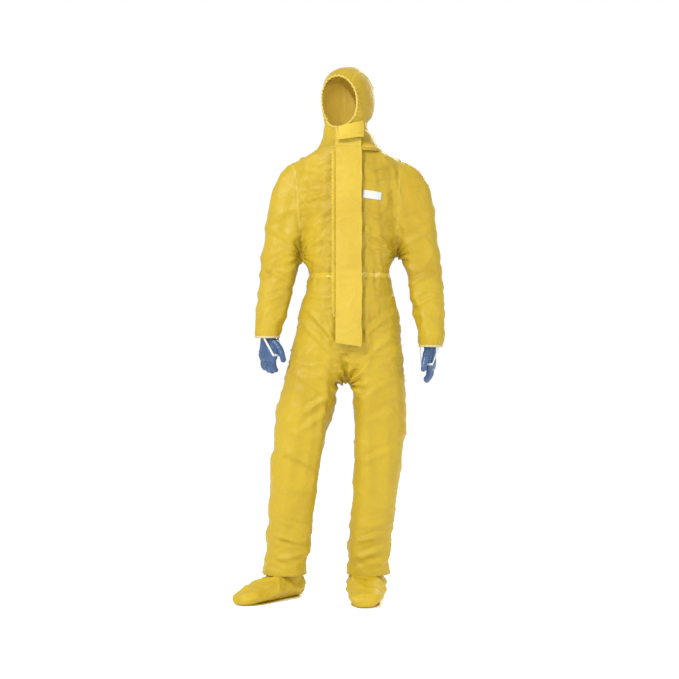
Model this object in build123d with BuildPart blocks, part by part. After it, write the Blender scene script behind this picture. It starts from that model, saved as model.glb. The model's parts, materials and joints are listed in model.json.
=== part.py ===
from build123d import *
from math import cos, radians, sin
import os

# Hooded chemical protective coverall, standing as worn, in millimetres.
#
# The wearer faces -Y and +Z is up. The origin is on the floor under the neck. Left and right are the wearer's, so the
# right side is at -X. The fabric is drawn as shells of one wall thickness. Rigid stretches of fabric are joined at the
# neck, shoulders, elbows, hips, knees and ankles by short stretches that fold.

# ---- Driving dimensions -------------------------------------------------------------------------------------------
WALL = 2.5  # fabric shell
LAP = 0.4  # gap between two fabric pieces that lie on each other
TRIM = 1.2  # seam tapes and elastics
SIDES = {"right": -1, "left": 1}

# The front edge of the body leans forward a little towards the hem, and the zip runs straight down it.
ZIP_BOTTOM_Z, ZIP_TOP_Z = 880.0, 1598.0
FRONT_BOTTOM_Y, FRONT_TOP_Y = -131.0, -105.0
FRONT_SLOPE = (FRONT_TOP_Y - FRONT_BOTTOM_Y) / (ZIP_TOP_Z - ZIP_BOTTOM_Z)
ZIP_LENGTH = ZIP_TOP_Z - ZIP_BOTTOM_Z

# Body sections: height, half width, half depth. The front of each lies on the zip's line.
BODY = [
    (950, 177, 128),
    (1031, 160, 118),
    (1114, 147, 110),
    (1204, 168, 120),
    (1300, 184, 127),
    (1400, 186, 127),
    (1470, 185, 118),
    (1510, 172, 102),
    (1545, 113, 92),
]
NECK_SEAM_Z = 1545.0
COLLAR = [(1546, 112, 91), (1572, 97, 85), (1600, 86, 81)]
ARMHOLE_X, ARMHOLE_BOTTOM = 165.0, 1192.0
WAIST_Z, WAIST_BAND = 1114.0, 26.0

# The hood is turned to the wearer's right about an upright axis. Sections: height, offset towards the face, half
# width, half depth.
HOOD_AXIS = (-6.0, -22.0)
HOOD_TURN = -24.0
HOOD_NECK = [(1602, 2, 85, 81), (1634, 3, 73, 78), (1660, 0, 79, 92)]
HOOD = [
    (1660.5, 0, 79, 92),
    (1690, -6, 85, 106),
    (1725, -10, 87, 113),
    (1765, -12, 84, 111),
    (1797, -12, 72, 97),
    (1820, -12, 52, 72),
    (1836, -12, 22, 34),
]
FACE_Z, FACE_HALF_WIDTH, FACE_HALF_HEIGHT = 1733.0, 68.0, 69.0
HOOD_CENTRE_HALF = 52.0

# Sleeves: height, distance from the middle, y, half width, half depth.
ARM_TOP = {"right": (233.0, 10.0, 1283.0), "left": (236.0, 10.0, 1283.0)}
ARM_TOP_TILT, ARM_TOP_HALF_WIDTH, ARM_TOP_HALF_DEPTH = 40.0, 84.0, 64.0
UPPER_ARM = {
    "right": [(1182, 237, 10, 67, 66)],
    "left": [(1182, 250, 10, 66, 65)],
}
ELBOW_RINGS = {
    "right": [(1181.5, 237, 10, 67, 66), (1110, 246, 6, 64, 62), (1030.5, 260, -6, 57, 57)],
    "left": [(1181.5, 250, 10, 66, 65), (1110, 262, 6, 61, 61), (1020.5, 273, -8, 57, 57)],
}
FOREARM = {
    "right": [(1030, 260, -6, 57, 57), (970, 269, -20, 53, 52), (925, 275, -30, 46, 45), (903, 279, -35, 40, 39)],
    "left": [(1020, 273, -8, 57, 57), (960, 277, -22, 53, 52), (905, 280, -34, 46, 45), (872, 279, -41, 38, 37)],
}
CUFF_BAND = 11.0
HAND_TURN = {"right": 225.0, "left": 168.0}
GLOVE_WALL = 1.2
LOOP_WIDTH, LOOP_THICKNESS = 7.0, 1.6

# Legs: height, distance from the middle, y, half width, half depth.
SEAT_TOP = (949.5, 177, 128)
SEAT_OVERLAP = 0.3  # keeps the two halves of the seat from sharing one face
THIGH = {
    "right": [(744, 130, 0, 94, 104), (677, 144, -4, 97, 104), (614, 160, -7, 92, 99), (560, 172, -10, 86, 94)],
    "left": [(744, 94, 0, 93, 104), (677, 100, -2, 90, 102), (614, 101, -4, 90, 98), (560, 99, -6, 88, 94)],
}
KNEE_RINGS = {
    "right": [(559.5, 172, -10, 86, 94), (470, 187, -12, 80, 88), (380.5, 195, -8, 77, 82)],
    "left": [(559.5, 99, -6, 88, 94), (470, 94, -8, 80, 88), (380.5, 88, -4, 75, 82)],
}
SHIN = {
    "right": [(380, 195, -8, 77, 82), (310, 204, -2, 74, 80), (255, 208, 2, 72, 78)],
    "left": [(380, 88, -4, 75, 82), (310, 81, 2, 74, 80), (255, 75, 6, 71, 78)],
}
BOOT_FLAP = {
    "right": [(254.5, 208, 2, 74, 80), (170, 216, 4, 72, 78), (84, 220, 4, 72, 78)],
    "left": [(254.5, 75, 6, 73, 80), (170, 68, 8, 73, 78), (84, 63, 8, 71, 78)],
}
ANKLE = {"right": (220.0, 6.0, 104.0), "left": (63.0, 10.0, 104.0)}
FOOT_TURN = {"right": -40.0, "left": -3.0}
SOLE = 3.0
# Foot sections: distance ahead of the ankle, half width, height.
FOOT = [
    (-66, 26, 60), (-50, 40, 84), (-10, 47, 100), (45, 49, 92),
    (105, 52, 74), (165, 52, 56), (212, 44, 42), (238, 24, 28),
]
SOCK_ANKLE = [(106, 49, 56), (160, 52, 58), (252, 58, 62)]


# ---- Shapes used more than once -----------------------------------------------------------------------------------
def front_y(z):
    """Y of the body's front line at height z."""
    return FRONT_BOTTOM_Y + (z - ZIP_BOTTOM_Z) * FRONT_SLOPE


def solid_through(rings, inset=0.0):
    """A solid lofted through level ellipses (z, x, y, half width, half depth), each drawn in by inset."""
    with BuildPart() as solid:
        for z, x, y, half_width, half_depth in rings:
            with BuildSketch(Plane.XY.offset(z)):
                with Locations((x, y)):
                    Ellipse(half_width - inset, half_depth - inset)
        loft()
    return solid.part


def shell_through(rings, inset=0.0, wall=WALL):
    """A tube of fabric through level ellipses, open at both ends, with its outside drawn in by inset."""
    outside, inside = solid_through(rings, inset), solid_through(rings, inset + wall)
    with BuildPart() as shell:
        add(outside)
        add(inside, mode=Mode.SUBTRACT)
    return shell.part


def clip(x=(-600, 600), y=(-600, 600), z=(-100, 2000)):
    """Keeps what is inside a box, in the part that is being built."""
    with Locations(((x[0] + x[1]) / 2, (y[0] + y[1]) / 2, (z[0] + z[1]) / 2)):
        Box(x[1] - x[0], y[1] - y[0], z[1] - z[0], mode=Mode.INTERSECT)


def cut_out(x=(-600, 600), y=(-600, 600), z=(-100, 2000)):
    """Removes what is inside a box, from the part that is being built."""
    with Locations(((x[0] + x[1]) / 2, (y[0] + y[1]) / 2, (z[0] + z[1]) / 2)):
        Box(x[1] - x[0], y[1] - y[0], z[1] - z[0], mode=Mode.SUBTRACT)


def on_side(side, rings):
    """Limb rings, whose x is a distance from the middle, set on one side of the body."""
    return [(z, SIDES[side] * x, y, a, b) for z, x, y, a, b in rings]


def save(name, part):
    """Writes one finished piece to parts/NAME.step."""
    part.label = name
    export_step(part, f"parts/{name}.step")


os.makedirs("parts", exist_ok=True)
body_rings = [(z, 0, front_y(z) + b + 1.0, a, b) for z, a, b in BODY]
collar_rings = [(z, 0, front_y(z) + b + 1.0, a, b) for z, a, b in COLLAR]
body_shell = shell_through(body_rings)
body_outside = solid_through(body_rings, -0.2)

# ---- Body panels --------------------------------------------------------------------------------------------------
ZIP_GAP = 6.0  # from the middle to a front panel's edge
SIDE_Y = 4.0  # the side seams

with BuildPart() as front_panel_right:
    add(body_shell)
    clip(x=(-600, -ZIP_GAP), y=(-300, SIDE_Y))
    cut_out(x=(-600, -ARMHOLE_X), z=(ARMHOLE_BOTTOM, 2000))
save("front_panel_right", front_panel_right.part)

with BuildPart() as front_panel_left:
    add(body_shell)
    clip(x=(ZIP_GAP, 600), y=(-300, SIDE_Y))
    cut_out(x=(ARMHOLE_X, 600), z=(ARMHOLE_BOTTOM, 2000))
save("front_panel_left", front_panel_left.part)

with BuildPart() as back_panel:
    add(body_shell)
    clip(y=(SIDE_Y, 300))
    for armhole in ((-600, -ARMHOLE_X), (ARMHOLE_X, 600)):
        cut_out(x=armhole, z=(ARMHOLE_BOTTOM, 2000))
save("back_panel", back_panel.part)

with BuildPart() as collar:
    add(shell_through(collar_rings))
    cut_out(x=(-ZIP_GAP, ZIP_GAP), y=(-300, -60))
save("collar", collar.part)

# ---- Tapes and elastics on the body -------------------------------------------------------------------------------
tape_shell = shell_through(body_rings, -LAP - TRIM, TRIM)
band_shell = shell_through(body_rings, WALL + LAP, 2 * TRIM)

for side, sign in SIDES.items():
    with BuildPart() as armhole_tape:
        add(tape_shell)
        clip(x=sorted((sign * (ARMHOLE_X - 14), sign * ARMHOLE_X)), z=(1215, 1509))
    save(f"armhole_seam_tape_{side}", armhole_tape.part)

    with BuildPart() as side_tape:
        add(tape_shell)
        clip(x=sorted((sign * 100, sign * 300)), y=(SIDE_Y - 10, SIDE_Y + 10), z=(952, 1180))
    save(f"side_seam_tape_{side}", side_tape.part)

with BuildPart() as waist_elastic:
    add(band_shell)
    clip(z=(WAIST_Z - WAIST_BAND / 2, WAIST_Z + WAIST_BAND / 2))
    cut_out(x=(-45, 45), y=(-300, 0))
save("waist_elastic", waist_elastic.part)

with BuildPart() as neck_tape:
    add(shell_through(collar_rings, -LAP - TRIM, TRIM))
    clip(z=(1547, 1560))
    cut_out(x=(-66, 66), y=(-300, -40))
save("neck_seam_tape", neck_tape.part)

# ---- Zip, its guard and the storm flap ----------------------------------------------------------------------------
# The front plane: x to the wearer's left, y up the zip, z out of the front.
front = Plane(origin=(0, FRONT_BOTTOM_Y, ZIP_BOTTOM_Z), x_dir=(1, 0, 0), z_dir=(0, -1, FRONT_SLOPE))
TAPE_WIDTH, TAPE_THICKNESS = 13.0, 0.8
CHAIN_HALF, CHAIN_FRONT, CHAIN_BACK = 2.4, 1.6, -0.6
TOOTH_PITCH = 12.0


def plate(low, high, x0, x1, y0, y1):
    """A flat plate on the front plane, from low to high out of it."""
    with BuildPart() as made:
        with BuildSketch(front.offset(low)):
            with Locations(((x0 + x1) / 2, (y0 + y1) / 2)):
                Rectangle(x1 - x0, y1 - y0)
        extrude(amount=high - low)
    return made.part


for side, sign in SIDES.items():
    inner, outer = sorted((sign * (CHAIN_HALF + 0.1), sign * (CHAIN_HALF + TAPE_WIDTH)))
    save(f"zipper_tape_{side}", plate(0.0, TAPE_THICKNESS, inner, outer, 0, ZIP_LENGTH))

with BuildPart() as zipper_chain:
    with BuildSketch(front.offset(CHAIN_BACK)):
        with Locations((0, ZIP_LENGTH / 2)):
            Rectangle(2 * CHAIN_HALF, ZIP_LENGTH - 16)
    extrude(amount=CHAIN_FRONT - CHAIN_BACK - 0.6)
    with BuildSketch(front.offset(CHAIN_FRONT - 0.6)):
        with Locations((0, ZIP_LENGTH / 2)):
            with GridLocations(0, TOOTH_PITCH, 1, int((ZIP_LENGTH - 30) / TOOTH_PITCH)):
                Rectangle(2 * CHAIN_HALF, TOOTH_PITCH / 2)
    extrude(amount=0.6)
save("zipper_chain", zipper_chain.part)

with BuildPart() as zipper_stops:
    with BuildSketch(front.offset(TAPE_THICKNESS)):
        with Locations((-4.6, ZIP_LENGTH - 4), (4.6, ZIP_LENGTH - 4)):
            Rectangle(3.2, 5)
        with Locations((0, 4)):
            Rectangle(9, 6)
    extrude(amount=1.4)
save("zipper_stops", zipper_stops.part)

# The slider's face plate lies over the chain, with a round stud that carries the pull.
SLIDER_Y = ZIP_LENGTH - 22
SLIDER_LOW, SLIDER_HIGH = 1.8, 3.5
STUD_RADIUS, STUD_TOP = 1.6, 6.4
PULL_LOW, PULL_HIGH = 3.7, 5.3
with BuildPart() as zipper_slider:
    with BuildSketch(front.offset(SLIDER_LOW)):
        with BuildLine():
            Polyline((-5.2, SLIDER_Y + 8), (5.2, SLIDER_Y + 8), (3.9, SLIDER_Y - 8), (-3.9, SLIDER_Y - 8), close=True)
        make_face()
    extrude(amount=SLIDER_HIGH - SLIDER_LOW)
    fillet(zipper_slider.edges().filter_by(lambda e: e.length < 2), 1.2)
    with BuildSketch(front.offset(SLIDER_HIGH)):
        with Locations((0, SLIDER_Y - 2)):
            Circle(STUD_RADIUS)
    extrude(amount=PULL_HIGH + 0.15 - SLIDER_HIGH)
    with BuildSketch(front.offset(PULL_HIGH + 0.15)):
        with Locations((0, SLIDER_Y - 2)):
            Circle(STUD_RADIUS + 1.1)
    extrude(amount=STUD_TOP - PULL_HIGH - 0.15)
save("zipper_slider", zipper_slider.part)

PULL_LENGTH = 30.0
with BuildPart() as zipper_pull:
    with BuildSketch(front.offset(PULL_LOW)):
        with BuildLine():
            Polyline(
                (-3.4, SLIDER_Y + 1.5),
                (3.4, SLIDER_Y + 1.5),
                (4.4, SLIDER_Y - PULL_LENGTH),
                (-4.4, SLIDER_Y - PULL_LENGTH),
                close=True,
            )
        make_face()
        fillet(vertices(), 1.6)
        with Locations((0, SLIDER_Y - 2)):
            Circle(STUD_RADIUS + 0.05, mode=Mode.SUBTRACT)
        with Locations((0, SLIDER_Y - 22)):
            SlotOverall(9, 3.6, rotation=90, mode=Mode.SUBTRACT)
    extrude(amount=PULL_HIGH - PULL_LOW)
save("zipper_pull", zipper_pull.part)

with BuildPart() as zip_guard:
    add(shell_through(body_rings, WALL + LAP, TRIM))
    clip(x=(-22, 22), y=(-300, 0), z=(960, 1535))
save("zip_guard", zip_guard.part)

FLAP_HINGE_X, FLAP_FREE_X = -47.0, 43.0
FLAP_LOW, FLAP_HIGH = 7.0, 9.2
FLAP_BOTTOM, FLAP_TOP = 868.0 - ZIP_BOTTOM_Z, 1580.0 - ZIP_BOTTOM_Z
with BuildPart() as storm_flap:
    with BuildSketch(front.offset(FLAP_LOW)):
        with BuildLine():
            Polyline(
                (FLAP_HINGE_X, FLAP_TOP),
                (FLAP_FREE_X, FLAP_TOP),
                (FLAP_FREE_X, FLAP_BOTTOM),
                (FLAP_HINGE_X, FLAP_BOTTOM + 20),
                close=True,
            )
        make_face()
    extrude(amount=FLAP_HIGH - FLAP_LOW)
save("storm_flap", storm_flap.part)
save("storm_flap_adhesive", plate(FLAP_LOW - 0.8, FLAP_LOW, FLAP_FREE_X - 22, FLAP_FREE_X - 4, 60, FLAP_TOP - 12))

with BuildPart() as flap_seam:
    with BuildSketch(front.offset(-9)):
        with Locations((FLAP_HINGE_X - 7.4, (FLAP_BOTTOM + 100 + FLAP_TOP) / 2)):
            Rectangle(13, FLAP_TOP - FLAP_BOTTOM - 100)
    extrude(amount=FLAP_HIGH + 7)
    clip(z=(960, NECK_SEAM_Z - 2))
    add(body_outside, mode=Mode.SUBTRACT)
save("storm_flap_seam", flap_seam.part)

with BuildPart() as flap_landing:
    add(tape_shell)
    clip(x=(FLAP_FREE_X - 24, FLAP_FREE_X - 2), y=(-300, 0), z=(975, 1520))
save("flap_adhesive_landing", flap_landing.part)

# The label is a small card on the wearer's left breast, across the fabric's curve.
LABEL_X, LABEL_Z, LABEL_WIDTH, LABEL_HEIGHT, LABEL_TILT = 80.0, 1386.0, 62.0, 29.0, 6.0
label_blank = shell_through(body_rings, -LAP - 0.8, 0.8)
with BuildPart() as label_prism:
    with BuildSketch(Plane.XZ.offset(40)):
        with Locations((LABEL_X, LABEL_Z)):
            RectangleRounded(LABEL_WIDTH, LABEL_HEIGHT, 2.5, rotation=-LABEL_TILT)
    extrude(amount=150)
with BuildPart() as chest_label:
    add(label_blank)
    add(label_prism.part, mode=Mode.INTERSECT)
save("chest_label", chest_label.part)


# ---- Hood ---------------------------------------------------------------------------------------------------------
def hood_solid(rings, inset):
    """A solid through hood sections, turned with the head."""
    with BuildPart() as solid:
        for z, ahead, half_width, half_depth in rings:
            with BuildSketch(Plane((*HOOD_AXIS, z), x_dir=(cos(radians(HOOD_TURN)), sin(radians(HOOD_TURN)), 0))):
                with Locations((0, -ahead)):
                    Ellipse(half_width - inset, half_depth - inset)
        loft()
    return solid.part


def face_prism(grow, reach=260.0):
    """The egg-shaped face opening, run out ahead of the face and drawn larger by grow."""
    face = Plane((*HOOD_AXIS, FACE_Z), x_dir=(cos(radians(HOOD_TURN)), sin(radians(HOOD_TURN)), 0))
    with BuildPart() as prism:
        with BuildSketch(Plane(face.origin, x_dir=face.x_dir, z_dir=-face.y_dir)):
            Ellipse(FACE_HALF_WIDTH + grow, FACE_HALF_HEIGHT + grow)
        extrude(amount=reach)
    return prism.part


def hood_strip(low, high):
    """An upright slab between two distances across the hood, turned with it."""
    with BuildPart() as slab:
        with BuildSketch(Plane((*HOOD_AXIS, 1500), x_dir=(cos(radians(HOOD_TURN)), sin(radians(HOOD_TURN)), 0))):
            with Locations(((low + high) / 2, 0)):
                Rectangle(high - low, 500)
        extrude(amount=500)
    return slab.part


hood_inner_rings = [(z if z < 1830 else z - WALL, m, a, b) for z, m, a, b in HOOD]
hood_outside, hood_inside = hood_solid(HOOD, 0), hood_solid(hood_inner_rings, WALL)
face_hole = face_prism(0)
strips = {
    "hood_centre_panel": hood_strip(-HOOD_CENTRE_HALF, HOOD_CENTRE_HALF),
    "hood_panel_right": hood_strip(-200, -HOOD_CENTRE_HALF),
    "hood_panel_left": hood_strip(HOOD_CENTRE_HALF, 200),
}
for name, strip in strips.items():
    with BuildPart() as hood_panel:
        add(hood_outside)
        add(hood_inside, mode=Mode.SUBTRACT)
        add(face_hole, mode=Mode.SUBTRACT)
        add(strip, mode=Mode.INTERSECT)
    save(name, hood_panel.part)

neck_outside, neck_inside = hood_solid(HOOD_NECK, 0), hood_solid(HOOD_NECK, WALL)
with BuildPart() as hood_neck:
    add(neck_outside)
    add(neck_inside, mode=Mode.SUBTRACT)
save("hood_neck", hood_neck.part)

rim_outside, rim_inside = hood_solid(HOOD, -LAP - 2.4), hood_solid(HOOD, -LAP)
rim_hole, rim_reach = face_prism(0.5), face_prism(7.5)
with BuildPart() as face_elastic:
    add(rim_outside)
    add(rim_inside, mode=Mode.SUBTRACT)
    add(rim_reach, mode=Mode.INTERSECT)
    add(rim_hole, mode=Mode.SUBTRACT)
save("face_elastic", face_elastic.part)

# The chin flap hangs in front of the neck, stitched to the hood along its left edge, and stands clear of the zip.
CHIN_RINGS = [(1582.0, 111.0, 111.0), (1612.0, 103.0, 103.0), (1646.0, 90.0, 92.0)]
CHIN_HINGE_X, CHIN_FREE_X, CHIN_THICKNESS = 49.0, -47.0, 2.2


def chin_shell(low, high, outline):
    """The part of a cone round the neck, between two distances out, inside an outline seen from the front."""
    rings = [(z, *HOOD_AXIS, a, b) for z, a, b in CHIN_RINGS]
    outside, inside = solid_through(rings, -high), solid_through(rings, -low)
    with BuildPart() as prism:
        with BuildSketch(Plane.XZ.offset(60)):
            with BuildLine():
                Polyline(*outline, close=True)
            make_face()
        extrude(amount=120)
    with BuildPart() as shell:
        add(outside)
        add(inside, mode=Mode.SUBTRACT)
        add(prism.part, mode=Mode.INTERSECT)
    return shell.part


save(
    "chin_flap",
    chin_shell(
        0,
        CHIN_THICKNESS,
        [(CHIN_HINGE_X, 1593), (CHIN_HINGE_X, 1646), (CHIN_FREE_X, 1640), (CHIN_FREE_X + 13, 1583)],
    ),
)
save(
    "chin_flap_adhesive",
    chin_shell(
        -0.8, 0,
        [(CHIN_FREE_X + 24, 1590), (CHIN_FREE_X + 20, 1634), (CHIN_FREE_X + 6, 1634), (CHIN_FREE_X + 14, 1592)],
    ),
)


# ---- Sleeves and gloves -------------------------------------------------------------------------------------------
def arm_top_plane(side):
    """The slanted plane where a sleeve leaves the shoulder."""
    sign = SIDES[side]
    x, y, z = ARM_TOP[side]
    tilt = radians(ARM_TOP_TILT)
    across, up = (sign * cos(tilt), 0, sin(tilt)), (-sign * sin(tilt), 0, cos(tilt))
    return Plane(origin=(sign * x, y, z), x_dir=across, z_dir=up)


def sleeve_head(side, inset):
    """From the armhole to the slanted top of the sleeve."""
    sign = SIDES[side]
    with BuildPart() as solid:
        with BuildSketch(Plane(origin=(sign * (ARMHOLE_X + 0.4), 12, 1362), x_dir=(0, 1, 0), z_dir=(sign, 0, 0))):
            Ellipse(58 - inset, 142 - inset)
        with BuildSketch(arm_top_plane(side).offset(0.4)):
            Ellipse(ARM_TOP_HALF_WIDTH - inset, ARM_TOP_HALF_DEPTH - inset)
        loft()
    return solid.part


def upper_sleeve(side, inset):
    """From the slanted top of the sleeve to the elbow's fold."""
    with BuildPart() as solid:
        with BuildSketch(arm_top_plane(side)):
            Ellipse(ARM_TOP_HALF_WIDTH - inset, ARM_TOP_HALF_DEPTH - inset)
        z, x, y, half_width, half_depth = on_side(side, UPPER_ARM[side])[0]
        with BuildSketch(Plane.XY.offset(z)):
            with Locations((x, y)):
                Ellipse(half_width - inset, half_depth - inset)
        loft(ruled=True)
    return solid.part


# Fingers in the hand's own frame: x towards the palm, y towards the thumb, z up. Each starts at the knuckles.
KNUCKLE_Z, FINGER_RADIUS = -78.0, 9.4
FINGERS = {
    "index": (27.0, 30.0, 24.0), "middle": (9.5, 34.0, 27.0),
    "ring": (-8.0, 31.0, 25.0), "little": (-25.0, 24.0, 20.0),
}
FINGER_BEND = 50.0


def finger(y, straight, bent, radius):
    """A finger that drops from the knuckles and curls towards the palm."""
    curl, knee = bent * 1.1, KNUCKLE_Z - straight * 0.45
    tip = (curl * (1 - cos(radians(FINGER_BEND))), y, knee - curl * sin(radians(FINGER_BEND)))
    with BuildPart() as made:
        with BuildLine(Plane(origin=(0, y, 0), x_dir=(1, 0, 0), z_dir=(0, -1, 0))) as route:
            Line((0, KNUCKLE_Z + 10), (0, knee))
            JernArc(start=(0, knee), tangent=(0, -1), radius=curl, arc_size=FINGER_BEND)
        with BuildSketch(Plane(origin=(0, y, KNUCKLE_Z + 10), z_dir=(0, 0, -1))):
            Circle(radius)
        sweep(path=route.wires()[0])
        with Locations(tip):
            Sphere(radius)
    return made.part


def palm(inset):
    """The hand from the wrist to the knuckles."""
    with BuildPart() as solid:
        palm_rings = [(30, 24, 28), (0, 22, 29), (-35, 20, 38), (KNUCKLE_Z + 4, 17, 41), (KNUCKLE_Z - 4, 12, 36)]
        for z, half_x, half_y in palm_rings:
            with BuildSketch(Plane.XY.offset(z)):
                Ellipse(half_x - inset, half_y - inset)
        loft()
    return solid.part


def thumb(inset):
    """The thumb, from the side of the palm and down."""
    with BuildPart() as made:
        with BuildSketch(Plane(origin=(4, 24, -14), z_dir=(0.12, 0.7, -0.7))):
            Circle(13 - inset)
        with BuildSketch(Plane(origin=(9, 51, -44), z_dir=(0.12, 0.5, -0.86))):
            Circle(11 - inset)
        with BuildSketch(Plane(origin=(13, 62, -76), z_dir=(0.12, 0.2, -0.97))):
            Circle(9.5 - inset)
        loft()
        with Locations((13.2, 62.3, -77)):
            Sphere(9.3 - inset)
    return made.part


for side, sign in SIDES.items():
    head_out, head_in = sleeve_head(side, 0), sleeve_head(side, WALL)
    with BuildPart() as head:
        add(head_out)
        add(head_in, mode=Mode.SUBTRACT)
    save(f"sleeve_head_{side}", head.part)

    upper_out, upper_in = upper_sleeve(side, 0), upper_sleeve(side, WALL)
    with BuildPart() as upper:
        add(upper_out)
        add(upper_in, mode=Mode.SUBTRACT)
    save(f"sleeve_upper_{side}", upper.part)

    save(f"sleeve_elbow_{side}", shell_through(on_side(side, ELBOW_RINGS[side])))
    forearm_rings = on_side(side, FOREARM[side])
    save(f"sleeve_forearm_{side}", shell_through(forearm_rings))

    # The cuff's elastic is a band just inside the sleeve's end.
    cuff_z = FOREARM[side][-1][0]
    cuff_shell = shell_through(forearm_rings, WALL + LAP, 1.8)
    with BuildPart() as cuff:
        add(cuff_shell)
        clip(z=(cuff_z, cuff_z + CUFF_BAND))
    save(f"cuff_elastic_{side}", cuff.part)

    wrist = Location((sign * FOREARM[side][-1][1], FOREARM[side][-1][2] - 2, cuff_z - 2), (0, 0, HAND_TURN[side]))
    hand = [finger(y, straight, bent, FINGER_RADIUS) for y, straight, bent in FINGERS.values()]
    hollow = [finger(y, straight, bent, FINGER_RADIUS - GLOVE_WALL) for y, straight, bent in FINGERS.values()]
    palm_outside, palm_inside, thumb_outside, thumb_inside = palm(0), palm(GLOVE_WALL), thumb(0), thumb(GLOVE_WALL)
    with BuildPart() as hand_solid:
        for piece in [palm_outside, thumb_outside, *hand]:
            add(piece)
    with BuildPart() as glove:
        add(hand_solid.part)
        for piece in [palm_inside, thumb_inside, *hollow]:
            add(piece, mode=Mode.SUBTRACT)

    # The thumb loop runs from the cuff down one side of the hand, between thumb and finger, and up the other side.
    with BuildPart() as loop:
        for out, web in ((-33.0, -15.0), (33.0, 24.0)):
            top, foot = Vector(out, 12, 1.2), Vector(web, 43.6, -62)
            run = (foot - top).normalized()
            with BuildSketch(Plane(origin=top, x_dir=Vector(1, 0, 0) - run * run.X, z_dir=run)):
                Rectangle(LOOP_THICKNESS, LOOP_WIDTH)
            extrude(amount=(foot - top).length)
        with Locations((4.5, 43.6, -61)):
            Box(40.5, LOOP_THICKNESS, LOOP_WIDTH)
        clip(z=(-80, 1.4))
        add(hand_solid.part, mode=Mode.SUBTRACT)

    for name, made in ((f"glove_{side}", glove.part), (f"thumb_loop_{side}", loop.part)):
        save(name, wrist * (made if side == "left" else made.mirror(Plane.YZ)))


# ---- Trousers -----------------------------------------------------------------------------------------------------
def seat_solid(inset):
    """From one ring round the hips to a ring round each thigh, meeting at the crotch."""
    z, half_width, half_depth = SEAT_TOP
    with BuildPart() as solid:
        for side in SIDES:
            leg_z, leg_x, leg_y, leg_width, leg_depth = on_side(side, THIGH[side])[0]
            with BuildSketch(Plane.XY.offset(z)):
                with Locations((0, front_y(z) + half_depth + 1.0 + (SEAT_OVERLAP if side == "left" else 0))):
                    Ellipse(half_width - inset, half_depth - inset)
            with BuildSketch(Plane.XY.offset(leg_z + 0.5)):
                with Locations((leg_x, leg_y)):
                    Ellipse(leg_width - inset, leg_depth - inset)
            loft()
    return solid.part


seat_outside, seat_inside = seat_solid(0), seat_solid(WALL)
with BuildPart() as seat_and_crotch:
    add(seat_outside)
    add(seat_inside, mode=Mode.SUBTRACT)
save("seat_and_crotch", seat_and_crotch.part)

for side, sign in SIDES.items():
    save(f"leg_thigh_{side}", shell_through(on_side(side, THIGH[side])))
    save(f"leg_knee_{side}", shell_through(on_side(side, KNEE_RINGS[side])))
    save(f"leg_shin_{side}", shell_through(on_side(side, SHIN[side])))
    save(f"boot_flap_{side}", shell_through(on_side(side, BOOT_FLAP[side])))

    # The sock's foot is lofted along the foot, then opened round the ankle.
    ankle_x, ankle_y = sign * ANKLE[side][0], ANKLE[side][1]
    turn = radians(FOOT_TURN[side])
    across, forward = Vector(cos(turn), sin(turn), 0), Vector(sin(turn), -cos(turn), 0)
    ankle = Vector(ankle_x, ankle_y, 0)

    def foot_solid(inset):
        """The foot, flat underneath, drawn in by inset."""
        with BuildPart() as solid:
            for ahead, half_width, height in FOOT:
                step = inset if ahead < 0 else -inset
                step = step if abs(ahead) in (abs(FOOT[0][0]), abs(FOOT[-1][0])) else 0
                with BuildSketch(Plane(origin=ankle + forward * (ahead + step), x_dir=across, z_dir=forward)):
                    with Locations((0, height * 0.46)):
                        Ellipse(half_width - inset, height * 0.54 - inset)
            loft()
            clip(z=(SOLE + inset, 300))
        return solid.part

    foot_outside, foot_inside = foot_solid(0), foot_solid(WALL)
    with BuildPart() as sock_foot:
        add(foot_outside)
        add(foot_inside, mode=Mode.SUBTRACT)
        with BuildSketch(Plane(origin=(ankle_x, ankle_y, 60), x_dir=across, z_dir=(0, 0, 1))):
            Ellipse(38, 42)
        extrude(amount=100, mode=Mode.SUBTRACT)
    save(f"sock_foot_{side}", sock_foot.part)

    with BuildPart() as sole:
        with BuildSketch(Plane(origin=ankle, x_dir=across, z_dir=(0, 0, 1))):
            with BuildLine():
                Spline((-34, 30), (0, 62), (34, 30), (36, -30), (48, -130), (34, -205), (0, -226), (-34, -205),
                       (-48, -130), (-36, -30), periodic=True)
            make_face()
        extrude(amount=SOLE)
    save(f"sole_{side}", sole.part)

    with BuildPart() as sock_ankle:
        for inset, mode in ((0, Mode.ADD), (WALL, Mode.SUBTRACT)):
            for z, half_width, half_depth in SOCK_ANKLE:
                with BuildSketch(Plane(origin=(ankle_x, ankle_y, z), x_dir=across, z_dir=(0, 0, 1))):
                    Ellipse(half_width - inset, half_depth - inset)
            loft(mode=mode)
    save(f"sock_ankle_{side}", sock_ankle.part)
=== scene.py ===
import bpy, bmesh, json, math
import numpy as np
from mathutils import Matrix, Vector, interpolate, noise
from mathutils.bvhtree import BVHTree


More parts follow.
